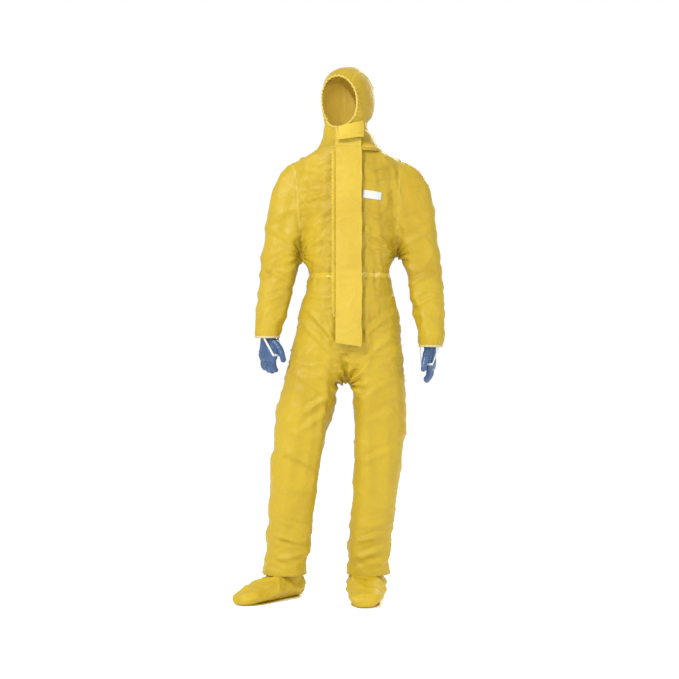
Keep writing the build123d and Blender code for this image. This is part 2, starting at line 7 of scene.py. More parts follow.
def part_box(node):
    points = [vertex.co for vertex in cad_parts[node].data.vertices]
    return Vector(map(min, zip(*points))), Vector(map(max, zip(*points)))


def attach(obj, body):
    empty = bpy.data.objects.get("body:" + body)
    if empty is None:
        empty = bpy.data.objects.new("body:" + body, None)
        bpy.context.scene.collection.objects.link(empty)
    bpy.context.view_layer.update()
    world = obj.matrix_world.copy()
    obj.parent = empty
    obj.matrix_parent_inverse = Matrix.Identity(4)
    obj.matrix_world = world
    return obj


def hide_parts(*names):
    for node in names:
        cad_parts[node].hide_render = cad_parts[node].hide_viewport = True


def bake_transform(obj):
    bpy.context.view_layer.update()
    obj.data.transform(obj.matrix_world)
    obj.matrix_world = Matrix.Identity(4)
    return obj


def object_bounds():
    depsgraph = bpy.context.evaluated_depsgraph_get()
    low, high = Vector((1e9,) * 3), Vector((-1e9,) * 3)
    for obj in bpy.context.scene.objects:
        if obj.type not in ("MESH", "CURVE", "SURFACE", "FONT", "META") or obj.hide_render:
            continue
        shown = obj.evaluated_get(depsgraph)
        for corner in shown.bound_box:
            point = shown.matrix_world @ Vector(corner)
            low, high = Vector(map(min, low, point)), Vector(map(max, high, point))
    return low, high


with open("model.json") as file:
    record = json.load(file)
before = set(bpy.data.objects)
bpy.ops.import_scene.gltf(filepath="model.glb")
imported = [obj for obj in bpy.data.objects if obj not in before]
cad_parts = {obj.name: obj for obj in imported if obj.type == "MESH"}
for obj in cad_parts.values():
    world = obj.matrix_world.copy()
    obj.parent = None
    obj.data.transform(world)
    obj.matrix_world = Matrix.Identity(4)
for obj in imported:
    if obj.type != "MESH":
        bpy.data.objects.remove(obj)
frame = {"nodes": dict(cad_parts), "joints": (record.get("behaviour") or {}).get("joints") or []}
# The coverall's looks: one skin draped over a form that is read from the CAD,
# split at its seams into front, back, sleeves and legs, with its trims and flaps.
cad_low, cad_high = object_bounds()
SIDES = {"right": -1.0, "left": 1.0}
scene = bpy.context.scene


# ---------------------------------------------------------------- reading the CAD frame
_edges = {}


def cad_edges(node):
    """Both ends of every edge of a CAD node, as two arrays."""
    if node not in _edges:
        mesh = frame["nodes"][node].data
        co = np.empty(len(mesh.vertices) * 3); mesh.vertices.foreach_get("co", co)
        ed = np.empty(len(mesh.edges) * 2, int); mesh.edges.foreach_get("vertices", ed)
        co, ed = co.reshape(-1, 3), ed.reshape(-1, 2)
        _edges[node] = (co[ed[:, 0]], co[ed[:, 1]])
    return _edges[node]


def section(nodes, z):
    """Centre x, centre y, half width and half depth of the level cut through CAD nodes at height z."""
    found = []
    for node in nodes:
        a, b = cad_edges(node)
        hit = (a[:, 2] - z) * (b[:, 2] - z) <= 0
        hit &= np.abs(a[:, 2] - b[:, 2]) > 1e-7
        a, b = a[hit], b[hit]
        found.append(a + (b - a) * ((z - a[:, 2]) / (b[:, 2] - a[:, 2]))[:, None])
    p = np.vstack(found)
    low, high = p.min(0), p.max(0)
    return (low[0] + high[0]) / 2, (low[1] + high[1]) / 2, (high[0] - low[0]) / 2, (high[1] - low[1]) / 2


def joint_at(name):
    """Where a CAD joint's pivot is."""
    for joint in frame["joints"]:
        if joint["name"] == name:
            return Vector(joint["pos_m"])


# ---------------------------------------------------------------- meshes
def new_mesh(name, verts, faces, smooth=True):
    mesh = bpy.data.meshes.new(name)
    mesh.from_pydata([tuple(v) for v in verts], [], [tuple(f) for f in faces])
    mesh.validate()
    obj = bpy.data.objects.new(name, mesh)
    scene.collection.objects.link(obj)
    if smooth:
        mesh.polygons.foreach_set("use_smooth", [True] * len(mesh.polygons))
    return obj


def coords(obj):
    co = np.empty(len(obj.data.vertices) * 3)
    obj.data.vertices.foreach_get("co", co)
    return co.reshape(-1, 3)


def set_coords(obj, co):
    obj.data.vertices.foreach_set("co", np.asarray(co, float).ravel())
    obj.data.update()


def normals(obj):
    no = np.empty(len(obj.data.vertices) * 3)
    obj.data.vertices.foreach_get("normal", no)
    return no.reshape(-1, 3)


def tube(rings, caps=True):
    """Verts and faces through rings of points, each the same length."""
    n = len(rings[0])
    verts = [p for r in rings for p in r]
    faces = [(i * n + j, i * n + (j + 1) % n, (i + 1) * n + (j + 1) % n, (i + 1) * n + j)
             for i in range(len(rings) - 1) for j in range(n)]
    if caps:
        faces.append(tuple(reversed(range(n))))
        faces.append(tuple(range((len(rings) - 1) * n, len(rings) * n)))
    return verts, faces


def oval(centre, across, up, a, b, n=48, power=2.2):
    """A ring of n points round a rounded oval spanned by two directions."""
    out = []
    for k in range(n):
        t = 2 * math.pi * k / n
        c, s = math.cos(t), math.sin(t)
        out.append(Vector(centre) + Vector(across) * (a * math.copysign(abs(c) ** (2 / power), c))
                   + Vector(up) * (b * math.copysign(abs(s) ** (2 / power), s)))
    return out


def apply_modifiers(obj):
    deps = bpy.context.evaluated_depsgraph_get()
    mesh = bpy.data.meshes.new_from_object(obj.evaluated_get(deps))
    old = obj.data
    obj.modifiers.clear()
    obj.data = mesh
    bpy.data.meshes.remove(old)


def smooth_step(x):
    x = np.clip(x, 0, 1)
    return x * x * (3 - 2 * x)


# ---------------------------------------------------------------- the body form
X, Y, Z = Vector((1, 0, 0)), Vector((0, 1, 0)), Vector((0, 0, 1))
PANELS = ["front_panel_right", "front_panel_left", "back_panel"]
panel_low, panel_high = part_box("back_panel")
collar_low, collar_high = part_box("collar")
parts_v, parts_f = [], []


def add_form(rings):
    v, f = tube(rings)
    base = len(parts_v)
    parts_v.extend(v)
    parts_f.extend([tuple(i + base for i in face) for face in f])


# half the body's width above the armholes' lower ends, by height
SHOULDER_WIDTHS = ([1.22, 1.30, 1.40, 1.46, 1.50, 1.525, 1.545], [.168, .180, .186, .190, .186, .160, .116])
torso_z = np.linspace(panel_low[2] + .002, panel_high[2] - .002, 26)
rings = []
for z in torso_z:
    x, y, a, b = section(PANELS, z)
    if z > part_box("sleeve_head_right")[0][2]:
        # the panels are cut off at the armholes, so the width runs on as the chest's
        a = max(a, np.interp(z, *SHOULDER_WIDTHS))
    a -= .005 * float(np.exp(-((z - 1.14) / .05) ** 2)) - .004 * float(z < 1.0)
    rings.append(oval((x, y, z), X, Y, a, b, power=2.35 if z < 1.45 else 2.2))
x, y, a, b = section(["collar"], collar_low[2] + .002)
rings.append(oval((x, y, collar_low[2] + .012), X, Y, a * .96, b * .98))
rings.append(oval((x, y, collar_low[2] + .045), X, Y, a * .88, b * .96))
add_form(rings)
for side, sign in SIDES.items():
    top = section(PANELS, panel_low[2] + .004)
    thigh = section([f"leg_thigh_{side}"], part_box(f"leg_thigh_{side}")[1][2] - .002)
    rings = [oval((top[0], top[1], panel_low[2] + .03), X, Y, top[2] * .98, top[3] * .98)]
    for t in np.linspace(0, 1, 7):
        mix = [top[k] + (thigh[k] - top[k]) * t for k in range(4)]
        z = panel_low[2] + (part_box(f"leg_thigh_{side}")[1][2] - panel_low[2]) * t
        rings.append(oval((mix[0] + sign * .0075 * t, mix[1], z), X, Y, mix[2] + .004 * t, mix[3] + .003 * t))
    for node in (f"leg_thigh_{side}", f"leg_knee_{side}", f"leg_shin_{side}", f"boot_flap_{side}"):
        low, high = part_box(node)
        for z in np.linspace(high[2] - .012, low[2] + .004, 6):
            x, y, a, b = section([node], z)
            off, wide = (.0075, .0055) if "thigh" in node else (.0030, .0065)
            rings.append(oval((x + sign * off, y, z), X, Y, a + wide, b + .005, power=2.25))
    x, y, a, b = section([node], low[2] + .004)
    rings.append(oval((x, y, low[2] - .05), X, Y, a, b, power=2.25))
    add_form(list(reversed(rings)))

    # the sleeve, from inside the chest out over the shoulder and down
    low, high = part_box(f"sleeve_head_{side}")
    out_x = high[0] if sign > 0 else -low[0]
    in_x = low[0] if sign > 0 else -high[0]
    arm_z = lambda f: low[2] + (high[2] - low[2]) * f
    arm_x = lambda f: in_x + (out_x - in_x) * f
    # rings that fan round the shoulder: outer and inner point as shares of the sleeve head's box, and half depth
    fan = [((.02, 1.06), (-.34, .25), .052), ((.28, 1.01), (-.23, .15), .060),
           ((.57, .90), (-.13, .07), .065), ((.80, .70), (-.06, .01), .067),
           ((.93, .44), (-.01, -.04), .067), ((1.0, .16), (.05, -.09), .067)]
    out_more, up_more = (.013, (0, .02, .05, .05, .02, 0)) if sign > 0 else (.001, (0, .01, .02, .01, 0, 0))
    rings = []
    yc = section([f"sleeve_elbow_{side}"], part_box(f"sleeve_elbow_{side}")[1][2] - .003)[1]
    for ((ox, oz), (ix, iz), depth), up in zip(fan, up_more):
        o = Vector((sign * (arm_x(ox) + out_more * min(1, ox * 1.3)), yc, arm_z(oz + up)))
        i = Vector((sign * arm_x(ix), yc, arm_z(iz)))
        d = (o - i)
        rings.append(oval((o + i) / 2, d.normalized() * sign, Y, d.length / 2, depth, power=2.15))
    for node in (f"sleeve_elbow_{side}", f"sleeve_forearm_{side}"):
        nl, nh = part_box(node)
        for z in np.linspace(nh[2] - .003, nl[2] + (.012 if "elbow" in node else .001), 8):
            x, y, a, b = section([node], z)
            off = .0045 + (.022 * (z - 1.0) if sign > 0 else 0)
            rings.append(oval((x + sign * off, y, z), X, Y, a + .0025, b + .004, power=2.1))
    x, y, a, b = section([node], nl[2] + .001)
    rings.append(oval((x, y, nl[2] - .04), X, Y, a, b))
    add_form(list(reversed(rings)))

form = new_mesh("form", parts_v, parts_f)
bm = bmesh.new(); bm.from_mesh(form.data)
bmesh.ops.recalc_face_normals(bm, faces=bm.faces)
bm.to_mesh(form.data); bm.free()
remesh = form.modifiers.new("union", "REMESH")
remesh.mode, remesh.voxel_size, remesh.use_smooth_shade = "VOXEL", 0.010, True
apply_modifiers(form)
sm = form.modifiers.new("soften", "SMOOTH")
sm.factor, sm.iterations = 0.5, 10
apply_modifiers(form)


# ---------------------------------------------------------------- openings in the skin, cut level and clean
def cut_rim(obj, point, normal, keep):
    """Cuts obj by a plane, only where keep(vertex) is true, and removes what is beyond the plane there."""
    bm = bmesh.new(); bm.from_mesh(obj.data)
    near = [f for f in bm.faces if all(keep(v.co) for v in f.verts)]
    geom = set(near)
    for f in near:
        geom.update(f.verts); geom.update(f.edges)
    bmesh.ops.bisect_plane(bm, geom=list(geom), dist=1e-5, plane_co=point, plane_no=normal, clear_outer=True)
    bm.to_mesh(obj.data); bm.free()


cuff_z = {s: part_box(f"sleeve_forearm_{s}")[0][2] for s in SIDES}
hem_z = {s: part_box(f"boot_flap_{s}")[0][2] for s in SIDES}
cut_rim(form, (0, 0, collar_low[2] + .001), Z, lambda c: abs(c.x) < .15 and c.z > 1.4)
for side, sign in SIDES.items():
    cut_rim(form, (0, 0, cuff_z[side]), -Z, lambda c: sign * c.x > .21 and cuff_z[side] - .06 < c.z < 1.05)
    lo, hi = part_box(f"boot_flap_{side}")
    cut_rim(form, (0, 0, hem_z[side]), -Z, lambda c: lo[0] - .05 < c.x < hi[0] + .05 and c.z < .3)


# ---------------------------------------------------------------- draping
def draped(obj, cut, hold, inset, frames, cap):
    """Where obj's points come to lie when cloth cut to the shape cut falls over the form, held by weight."""
    plain = coords(obj)
    obj.shape_key_add(name="Basis")
    rest = obj.shape_key_add(name="cut")
    rest.data.foreach_set("co", cut.ravel())
    group = obj.vertex_groups.new(name="hold")
    for w in np.unique(np.round(hold, 2)):
        if w > 0:
            group.add(np.nonzero(np.round(hold, 2) == w)[0].tolist(), float(w), "REPLACE")
    # the wearer's shape inside, a little smaller than the cloth
    inner = new_mesh("inner", plain - normals(obj) * inset, [tuple(p.vertices) for p in obj.data.polygons])
    inner.modifiers.new("Collision", "COLLISION")
    inner.collision.thickness_outer = .003
    inner.collision.cloth_friction = 12
    cloth = obj.modifiers.new("Cloth", "CLOTH")
    cs = cloth.settings
    cs.quality, cs.mass, cs.air_damping = 5, .12, 2
    cs.tension_stiffness, cs.compression_stiffness, cs.shear_stiffness, cs.bending_stiffness = 30, 30, 12, 2.0
    cs.tension_damping = cs.compression_damping = cs.shear_damping = 8
    cs.bending_damping = .5
    cs.vertex_group_mass, cs.pin_stiffness, cs.rest_shape_key = "hold", 2, rest
    cloth.collision_settings.distance_min = .004
    cloth.collision_settings.collision_quality = 2
    cloth.collision_settings.use_self_collision = False
    cloth.point_cache.frame_start, cloth.point_cache.frame_end = 1, frames
    for f in range(1, frames + 1):
        scene.frame_set(f)
    got = obj.evaluated_get(bpy.context.evaluated_depsgraph_get())
    out = np.empty(plain.size)
    got.data.vertices.foreach_get("co", out)
    obj.modifiers.clear()
    obj.shape_key_clear()
    obj.vertex_groups.clear()
    bpy.data.objects.remove(inner)
    scene.frame_set(1)
    move = out.reshape(-1, 3) - plain
    # the finest folds, no wider than two of the mesh's steps, are evened out
    ends = np.empty(len(obj.data.edges) * 2, int)
    obj.data.edges.foreach_get("vertices", ends)
    a, b = ends.reshape(-1, 2).T
    count = np.bincount(ends, minlength=len(plain))[:, None]
    for _ in range(3):
        total = np.zeros_like(move)
        np.add.at(total, a, move[b])
        np.add.at(total, b, move[a])
        move = move * .5 + total / count * .5
    length = np.linalg.norm(move, axis=1)
    return plain + move * (np.minimum(length, cap) / np.maximum(length, 1e-9))[:, None]


# ---------------------------------------------------------------- draping the skin
skin = form
skin.name = "skin"
F = coords(skin)                       # where each point lies on the plain form; used for seams and weights
waist_z = (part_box("waist_elastic")[0][2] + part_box("waist_elastic")[1][2]) / 2
armpit = {s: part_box(f"sleeve_upper_{s}")[0][2] + .005 for s in SIDES}


def arm_side(p):
    """+1 or -1 where a form point is on an arm, else 0."""
    x, z = p[:, 0], p[:, 2]
    edge_r = np.interp(z, [.86, .95, 1.03, 1.187, 1.502], [.212, .203, .187, .163, .196])
    edge_l = np.interp(z, [.86, .95, 1.03, 1.187, 1.52], [.222, .210, .195, .170, .180])
    return np.where(-x > edge_r, -1, np.where(x > edge_l, 1, 0)) * (z > .84)


def stretch_table(stops):
    """Turns (height, scale) stops into a map from height to the cut cloth's height."""
    z = np.linspace(0, 1.9, 381)
    s = np.interp(z, [a for a, b in stops], [b for a, b in stops])
    total = np.concatenate([[0], np.cumsum((s[1:] + s[:-1]) / 2 * np.diff(z))])
    return z, total


arm = arm_side(F)
# the cloth is cut longer than the form where it bunches: at ankles, knees, crotch, waist and elbows
bz, bt = stretch_table([
    (0, 1.05), (.07, 1.05), (.15, 1.07), (.28, 1.09), (.42, 1.05), (.55, 1.03), (.70, 1.06),
    (.78, 1.09), (.90, 1.05), (1.03, 1.06), (1.11, 1.10), (1.20, 1.06), (1.30, 1.03), (1.55, 1.02)])
az, at = stretch_table([
    (0, 1.08), (.93, 1.08), (1.02, 1.10), (1.10, 1.11), (1.18, 1.08), (1.28, 1.04), (1.4, 1.02), (1.6, 1.02)])
cut = F.copy()
no = normals(skin)
body_z = np.interp(F[:, 2], bz, bt)
arm_zz = np.interp(F[:, 2], az, at)
at_join, body_join = np.interp(1.25, az, at), np.interp(1.25, bz, bt)
cut[:, 2] = np.where(arm != 0, arm_zz - at_join + body_join, body_z)
girth = np.interp(F[:, 2], [.07, .3, .8, 1.0, 1.11, 1.25, 1.5], [.002, .0015, .001, .001, .004, .0008, .0005])
cut += no * girth[:, None]
# limbs are turned a little against their cut, so the cloth pulls in slanting folds
for side, sign in SIDES.items():
    for node, z0, z1, turn in ((f"leg_thigh_{side}", .90, .45, .16 * sign), (f"leg_shin_{side}", .45, .08, -.20)):
        lo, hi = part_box(node)
        cx, cy = (lo[0] + hi[0]) / 2, (lo[1] + hi[1]) / 2
        m = (arm == 0) & (F[:, 2] < .90) & (F[:, 0] * sign > .015 * sign)
        a = np.where(m, smooth_step((z0 - F[:, 2]) / (z0 - z1)) * turn, 0)
        dx, dy = cut[:, 0] - cx, cut[:, 1] - cy
        cut[:, 0] = np.where(m, cx + dx * np.cos(a) - dy * np.sin(a), cut[:, 0])
        cut[:, 1] = np.where(m, cy + dx * np.sin(a) + dy * np.cos(a), cut[:, 1])

# what is held: the neck, cuffs, waist band, hem (loosely) and the flat strip under the flap
front = F[:, 1] < 0
hold = np.zeros(len(F))
hold = np.maximum(hold, smooth_step((F[:, 2] - 1.50) / .03) * (arm == 0))
hold = np.maximum(hold, ((np.abs(F[:, 0]) < .06) & front & (F[:, 2] > .875)) * .95)
hold = np.maximum(hold, (np.abs(F[:, 2] - waist_z) < .009) * (arm == 0) * .9)
for side, sign in SIDES.items():
    on = arm == sign
    hold = np.maximum(hold, on * smooth_step((cuff_z[side] + .030 - F[:, 2]) / .012))
    hold = np.maximum(hold, (arm == 0) * (F[:, 2] < hem_z[side] + .016) * .6)
S = draped(skin, cut, hold, .014, 26, .035)
set_coords(skin, S)


# ---------------------------------------------------------------- a finer skin that keeps its place on the form
def refined(obj, co):
    """The points of obj, placed at co, after one round of subdivision."""
    set_coords(obj, co)
    sub = obj.modifiers.new("fine", "SUBSURF")
    sub.levels, sub.boundary_smooth, sub.subdivision_type = 1, "PRESERVE_CORNERS", "CATMULL_CLARK"
    got = obj.evaluated_get(bpy.context.evaluated_depsgraph_get())
    out = np.empty(len(got.data.vertices) * 3)
    got.data.vertices.foreach_get("co", out)
    obj.modifiers.clear()
    return out.reshape(-1, 3)


def made_finer(obj, plain, draped_at):
    """Subdivides obj once. Its points on the plain form and on the draped cloth."""
    fine = refined(obj, plain)
    set_coords(obj, draped_at)
    sub = obj.modifiers.new("fine", "SUBSURF")
    sub.levels, sub.boundary_smooth = 1, "PRESERVE_CORNERS"
    apply_modifiers(obj)
    return fine, coords(obj).copy()


F, S = made_finer(skin, F, S)
arm = arm_side(F)


# ---------------------------------------------------------------- wrinkles that stay in the cloth
def waves(p, scale, seed=0.0, octaves=2):
    """Smooth noise at points p, with its own scale along each axis."""
    q = p * np.asarray(scale, float) + seed
    return np.array([noise.fractal(v, .9, 2.1, octaves) for v in q.tolist()])


def creases(p, scale, seed=0.0, sharp=7.0):
    """Thin raised lines, from 0 to 1."""
    return (1 - np.minimum(np.abs(waves(p, scale, seed, 1)), 1)) ** sharp


def band(z, low, high, soft):
    """1 between two heights, falling to 0 over soft beyond them."""
    return smooth_step((z - low + soft) / soft) * smooth_step((high + soft - z) / soft)


def fold_lines(p, lines):
    """Soft ridges and hollows along straight lines seen from the front: (x, z), (x, z), width, height."""
    out = np.zeros(len(p))
    for a, b, width, height in lines:
        a, b = np.array(a), np.array(b)
        d = b - a
        q = p[:, [0, 2]] - a
        t = np.clip(q @ d / (d @ d), 0, 1)
        away = np.linalg.norm(q - t[:, None] * d, axis=1)
        along = np.sin(np.pi * np.clip(t, .04, .96)) ** .6
        out += height * along * np.exp(-(away / width) ** 2)
        # a hollow beside each ridge gives it a lit and a shaded side
        side = (q[:, 0] * d[1] - q[:, 1] * d[0]) / np.linalg.norm(d)
        out -= .55 * height * along * np.exp(-((side - 1.5 * width) / width) ** 2) * (away < 4 * width)
    return out


label_low, label_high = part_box("chest_label")
label_centre = (label_low + label_high) / 2
flap_low, flap_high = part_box("storm_flap")
in_front = F[:, 1] < 0
under_flap = smooth_step((flap_high[0] + .014 - np.abs(F[:, 0])) / .012) * in_front * (F[:, 2] > flap_low[2])
at_label = np.exp(-((F[:, 0] - label_centre[0]) / .045) ** 4 - ((F[:, 2] - label_centre[2]) / .03) ** 4) * in_front
RELIEF = 1.25                          # how strong all the small wrinkles are
torso_part = (arm == 0) & (F[:, 2] > .76)
leg_part = (arm == 0) & (F[:, 2] <= .76)
zz = F[:, 2]
height = .0016 * waves(F, (9, 9, 13), 3.1, 3)
height += .0030 * creases(F, (7, 7, 11), 8.2, 9) - .0008
height += torso_part * band(zz, 1.20, 1.47, .05) * .0034 * waves(F, (5, 5, 30), 1.7, 2)
height += (arm == 0) * .0046 * waves(F, (46, 46, 9), 5.5, 2) * np.exp(-((zz - waist_z) / .030) ** 2)
height += (arm == 0) * .0034 * waves(F, (26, 26, 7), 9.5, 2) * np.exp(-((zz - waist_z) / .075) ** 2)
height -= (arm == 0) * .0035 * np.exp(-((zz - waist_z) / .012) ** 2)
for side, sign in SIDES.items():
    on = arm == sign
    skew = F.copy()
    skew[:, 2] += .55 * sign * F[:, 0]
    height += on * band(zz, .98, 1.17, .05) * .0050 * waves(skew, (6, 9, 24), 2.2 * sign, 2)
    height += on * band(zz, 1.18, 1.32, .06) * .0034 * waves(skew, (6, 8, 20), 4.2 * sign, 2)
    height += on * .0030 * waves(F, (80, 80, 12), 6.1, 1) * np.exp(-((zz - cuff_z[side]) / .022) ** 2)
    lo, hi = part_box(f"boot_flap_{side}")
    leg = leg_part & (F[:, 0] * sign > -.02 * (sign > 0))
    skew[:, 2] = zz - .35 * sign * F[:, 0]
    height += leg * band(zz, .12, .27, .03) * .0052 * waves(skew, (6, 6, 26), 7.7 * sign, 2)
    height += leg * band(zz, .40, .56, .05) * .0036 * waves(skew, (5, 5, 19), 1.1 * sign, 2)
    height += leg * band(zz, .60, .74, .04) * .0034 * waves(skew, (6, 5, 20), 3.9 * sign, 2)
    pit = np.array([sign * .168, -.01, armpit[side]])
    far = np.linalg.norm((F - pit) * (1, .8, 1), axis=1)
    ang = np.arctan2(zz - pit[2], (F[:, 0] - pit[0]) * sign)
    height += .0042 * np.cos(ang * 11 + 2 * sign) * np.exp(-(far / .055) ** 2) * smooth_step(far / .02)
crotch = np.array([-.004, -.05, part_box("leg_thigh_right")[1][2]])
far = np.linalg.norm((F - crotch)[:, [0, 2]], axis=1)
ang = np.arctan2(zz - crotch[2], F[:, 0] - crotch[0])
height += .0046 * np.cos(ang * 9) * np.exp(-(far / .090) ** 2) * smooth_step(far / .02) * (arm == 0)
# puckers along the front seam above the crotch
pucker = np.exp(-((F[:, 0] + .012) / .034) ** 2) * band(zz, crotch[2] + .01, flap_low[2], .03) * in_front * (arm == 0)
height += .0042 * pucker * waves(F, (38, 38, 62), 12.4, 2)
# short creases across the chest and belly
height += torso_part * (F[:, 1] < .02) * .0030 * (creases(F, (13, 13, 34), 14.6, 6) - .25)
# folds seen from the front: two ends as (x, z), width, height
LINES = [
    ((-.150, 1.000), (-.020, .862), .00945, .00825), ((-.165, .960), (-.060, .845), .0105, .00495),
    ((.150, .985), (.045, .905), .0105, .0055), ((.172, .930), (.030, .800), .01155, .00495),
    ((-.060, 1.452), (-.160, 1.476), .00945, .0044), ((-.062, 1.392), (-.165, 1.372), .00945, .00462),
    ((-.060, 1.335), (-.160, 1.290), .0105, .00528), ((-.062, 1.262), (-.158, 1.205), .0105, .00605),
    ((.052, 1.470), (.160, 1.492), .00945, .0044), ((.050, 1.330), (.165, 1.290), .0105, .00495),
    ((.052, 1.270), (.162, 1.200), .00945, .0066), ((.060, 1.225), (.166, 1.185), .0084, .00605),
    ((-.085, .815), (-.015, .745), .0084, .0066), ((.070, .815), (.000, .742), .0084, .0066),
    ((-.190, .780), (-.060, .690), .01155, .0055), ((-.075, .705), (-.175, .640), .0105, .00682),
    ((-.072, .660), (-.190, .575), .01155, .00605), ((.160, .760), (.030, .690), .01155, .00528),
    ((.175, .660), (.040, .600), .0126, .00495), ((.150, .520), (.030, .470), .01155, .0055),
    ((-.240, .520), (-.120, .460), .01155, .0055), ((.135, .235), (.020, .205), .00945, .0077),
    ((.140, .185), (.025, .150), .00945, .00715), ((.020, .255), (.120, .270), .00945, .0055),
    ((-.270, .230), (-.160, .200), .00945, .0055), ((-.150, .165), (-.260, .140), .00945, .0055),
    ((-.300, 1.150), (-.200, 1.090), .00945, .0066), ((-.205, 1.060), (-.300, 1.030), .00945, .00605),
    ((.310, 1.140), (.205, 1.080), .00945, .0066), ((.320, 1.060), (.225, 1.010), .00945, .0066),
    ((-.290, 1.290), (-.190, 1.225), .01155, .0055), ((.295, 1.290), (.200, 1.220), .01155, .00605),
]
height *= RELIEF
height += fold_lines(F, LINES) * (F[:, 1] < .02)
behind = F * (-1, 1, 1) + (.01, 0, .012)
height += .8 * fold_lines(behind, LINES) * (F[:, 1] >= .02)
height *= (1 - under_flap) * (1 - .9 * at_label)
# nothing moves at the rims
for side, sign in SIDES.items():
    height *= 1 - (arm == sign) * smooth_step((cuff_z[side] + .012 - zz) / .012) * .7
height *= 1 - (arm == 0) * smooth_step((zz - 1.520) / .02)
fine_normals = normals(skin).copy()
S = S + fine_normals * height[:, None]
set_coords(skin, S)
N = normals(skin).copy()
skin_polys = [tuple(p.vertices) for p in skin.data.polygons]


class Cloth:
    """Takes a point near a plain form to its place on the draped cloth, and gives the way out of the cloth."""

    def __init__(self, plain, draped, outward, polys):
        self.plain, self.draped, self.outward, self.polys = plain, draped, outward, polys
        self.tree = BVHTree.FromPolygons(plain.tolist(), polys)

    def at(self, point):
        spot, way, index, _ = self.tree.find_nearest(Vector(point))
        corners = self.polys[index]
        share = interpolate.poly_3d_calc([Vector(self.plain[k]) for k in corners], spot)
        where = sum((Vector(self.draped[k]) * w for k, w in zip(corners, share)), Vector())
        out = sum((Vector(self.outward[k]) * w for k, w in zip(corners, share)), Vector())
        return where, out.normalized(), spot, way

    def cast(self, start, way):
        """Where a ray from start meets the plain form."""
        return self.tree.ray_cast(Vector(start), Vector(way).normalized())[0]


body_cloth = Cloth(F, S, N, skin_polys)
made = {}                              # every finished piece by name


def keep_form(obj, plain):
    """Stores where each point lay on the plain form, which the materials read."""
    layer = obj.data.attributes.new("form", "FLOAT_VECTOR", "POINT")
    layer.data.foreach_set("vector", np.asarray(plain, np.float32).ravel())


def split_piece(name, faces, polys, place, plain, outward):
    """A piece of a bigger skin that keeps the skin's shading at its borders."""
    used = sorted({v for f in faces for v in polys[f]})
    index = {v: i for i, v in enumerate(used)}
    obj = new_mesh(name, place[used], [tuple(index[v] for v in polys[f]) for f in faces])
    keep_form(obj, plain[used])
    obj.data.normals_split_custom_set_from_vertices([tuple(n) for n in outward[used]])
    made[name] = obj
    return obj


# ---------------------------------------------------------------- the skin's pieces
mid = np.array([F[list(p)].mean(0) for p in skin_polys])
mid_arm = arm_side(mid)
panel_bottom = panel_low[2] + .005
knee_cut = .600
leg_split = np.interp(mid[:, 2], [.76, .88, .95], [-.015, -.002, 0])
SLEEVE_WAY = {s: Vector((g * .8, 0, -.6)) for s, g in SIDES.items()}
SLEEVE_START = {"right": Vector((-.165, .01, 1.20)), "left": Vector((.172, .01, 1.20))}
SLEEVE_CUT = .130                      # how far along the sleeve its two pieces meet
group_of = {}
torso = (mid_arm == 0) & (mid[:, 2] > panel_bottom)
group_of["front_right"] = torso & (mid[:, 1] < .004) & (mid[:, 0] < 0)
group_of["front_left"] = torso & (mid[:, 1] < .004) & (mid[:, 0] >= 0)
group_of["back"] = torso & (mid[:, 1] >= .004)
for side, sign in SIDES.items():
    along = (mid - np.array(SLEEVE_START[side])) @ np.array(SLEEVE_WAY[side])
    group_of[f"sleeve_{side}"] = (mid_arm == sign) & (along < SLEEVE_CUT)
    group_of[f"forearm_{side}"] = (mid_arm == sign) & (along >= SLEEVE_CUT)
    leg = (mid_arm == 0) & (mid[:, 2] <= panel_bottom) & ((mid[:, 0] - leg_split) * sign >= 0)
    group_of[f"trousers_{side}"] = leg & (mid[:, 2] > knee_cut)
    group_of[f"leg_{side}"] = leg & (mid[:, 2] <= knee_cut)
for name, mask in group_of.items():
    split_piece(name, np.nonzero(mask)[0].tolist(), skin_polys, S, F, N)
bpy.data.objects.remove(skin)


def rim_loops(polys):
    """The open borders of a mesh, each as a list of its points in order."""
    seen = {}
    for p in polys:
        for a, b in zip(p, p[1:] + p[:1]):
            seen[(min(a, b), max(a, b))] = seen.get((min(a, b), max(a, b)), 0) + 1
    joined = {}
    for (a, b), n in seen.items():
        if n == 1:
            joined.setdefault(a, []).append(b)
            joined.setdefault(b, []).append(a)
    loops, left = [], set(joined)
    while left:
        start = min(left)
        loop, at, before = [start], start, None
        while True:
            ahead = [k for k in joined[at] if k != before]
            before, at = at, ahead[0]
            if at == start:
                break
            loop.append(at)
        loops.append(loop)
        left -= set(loop)
    return loops


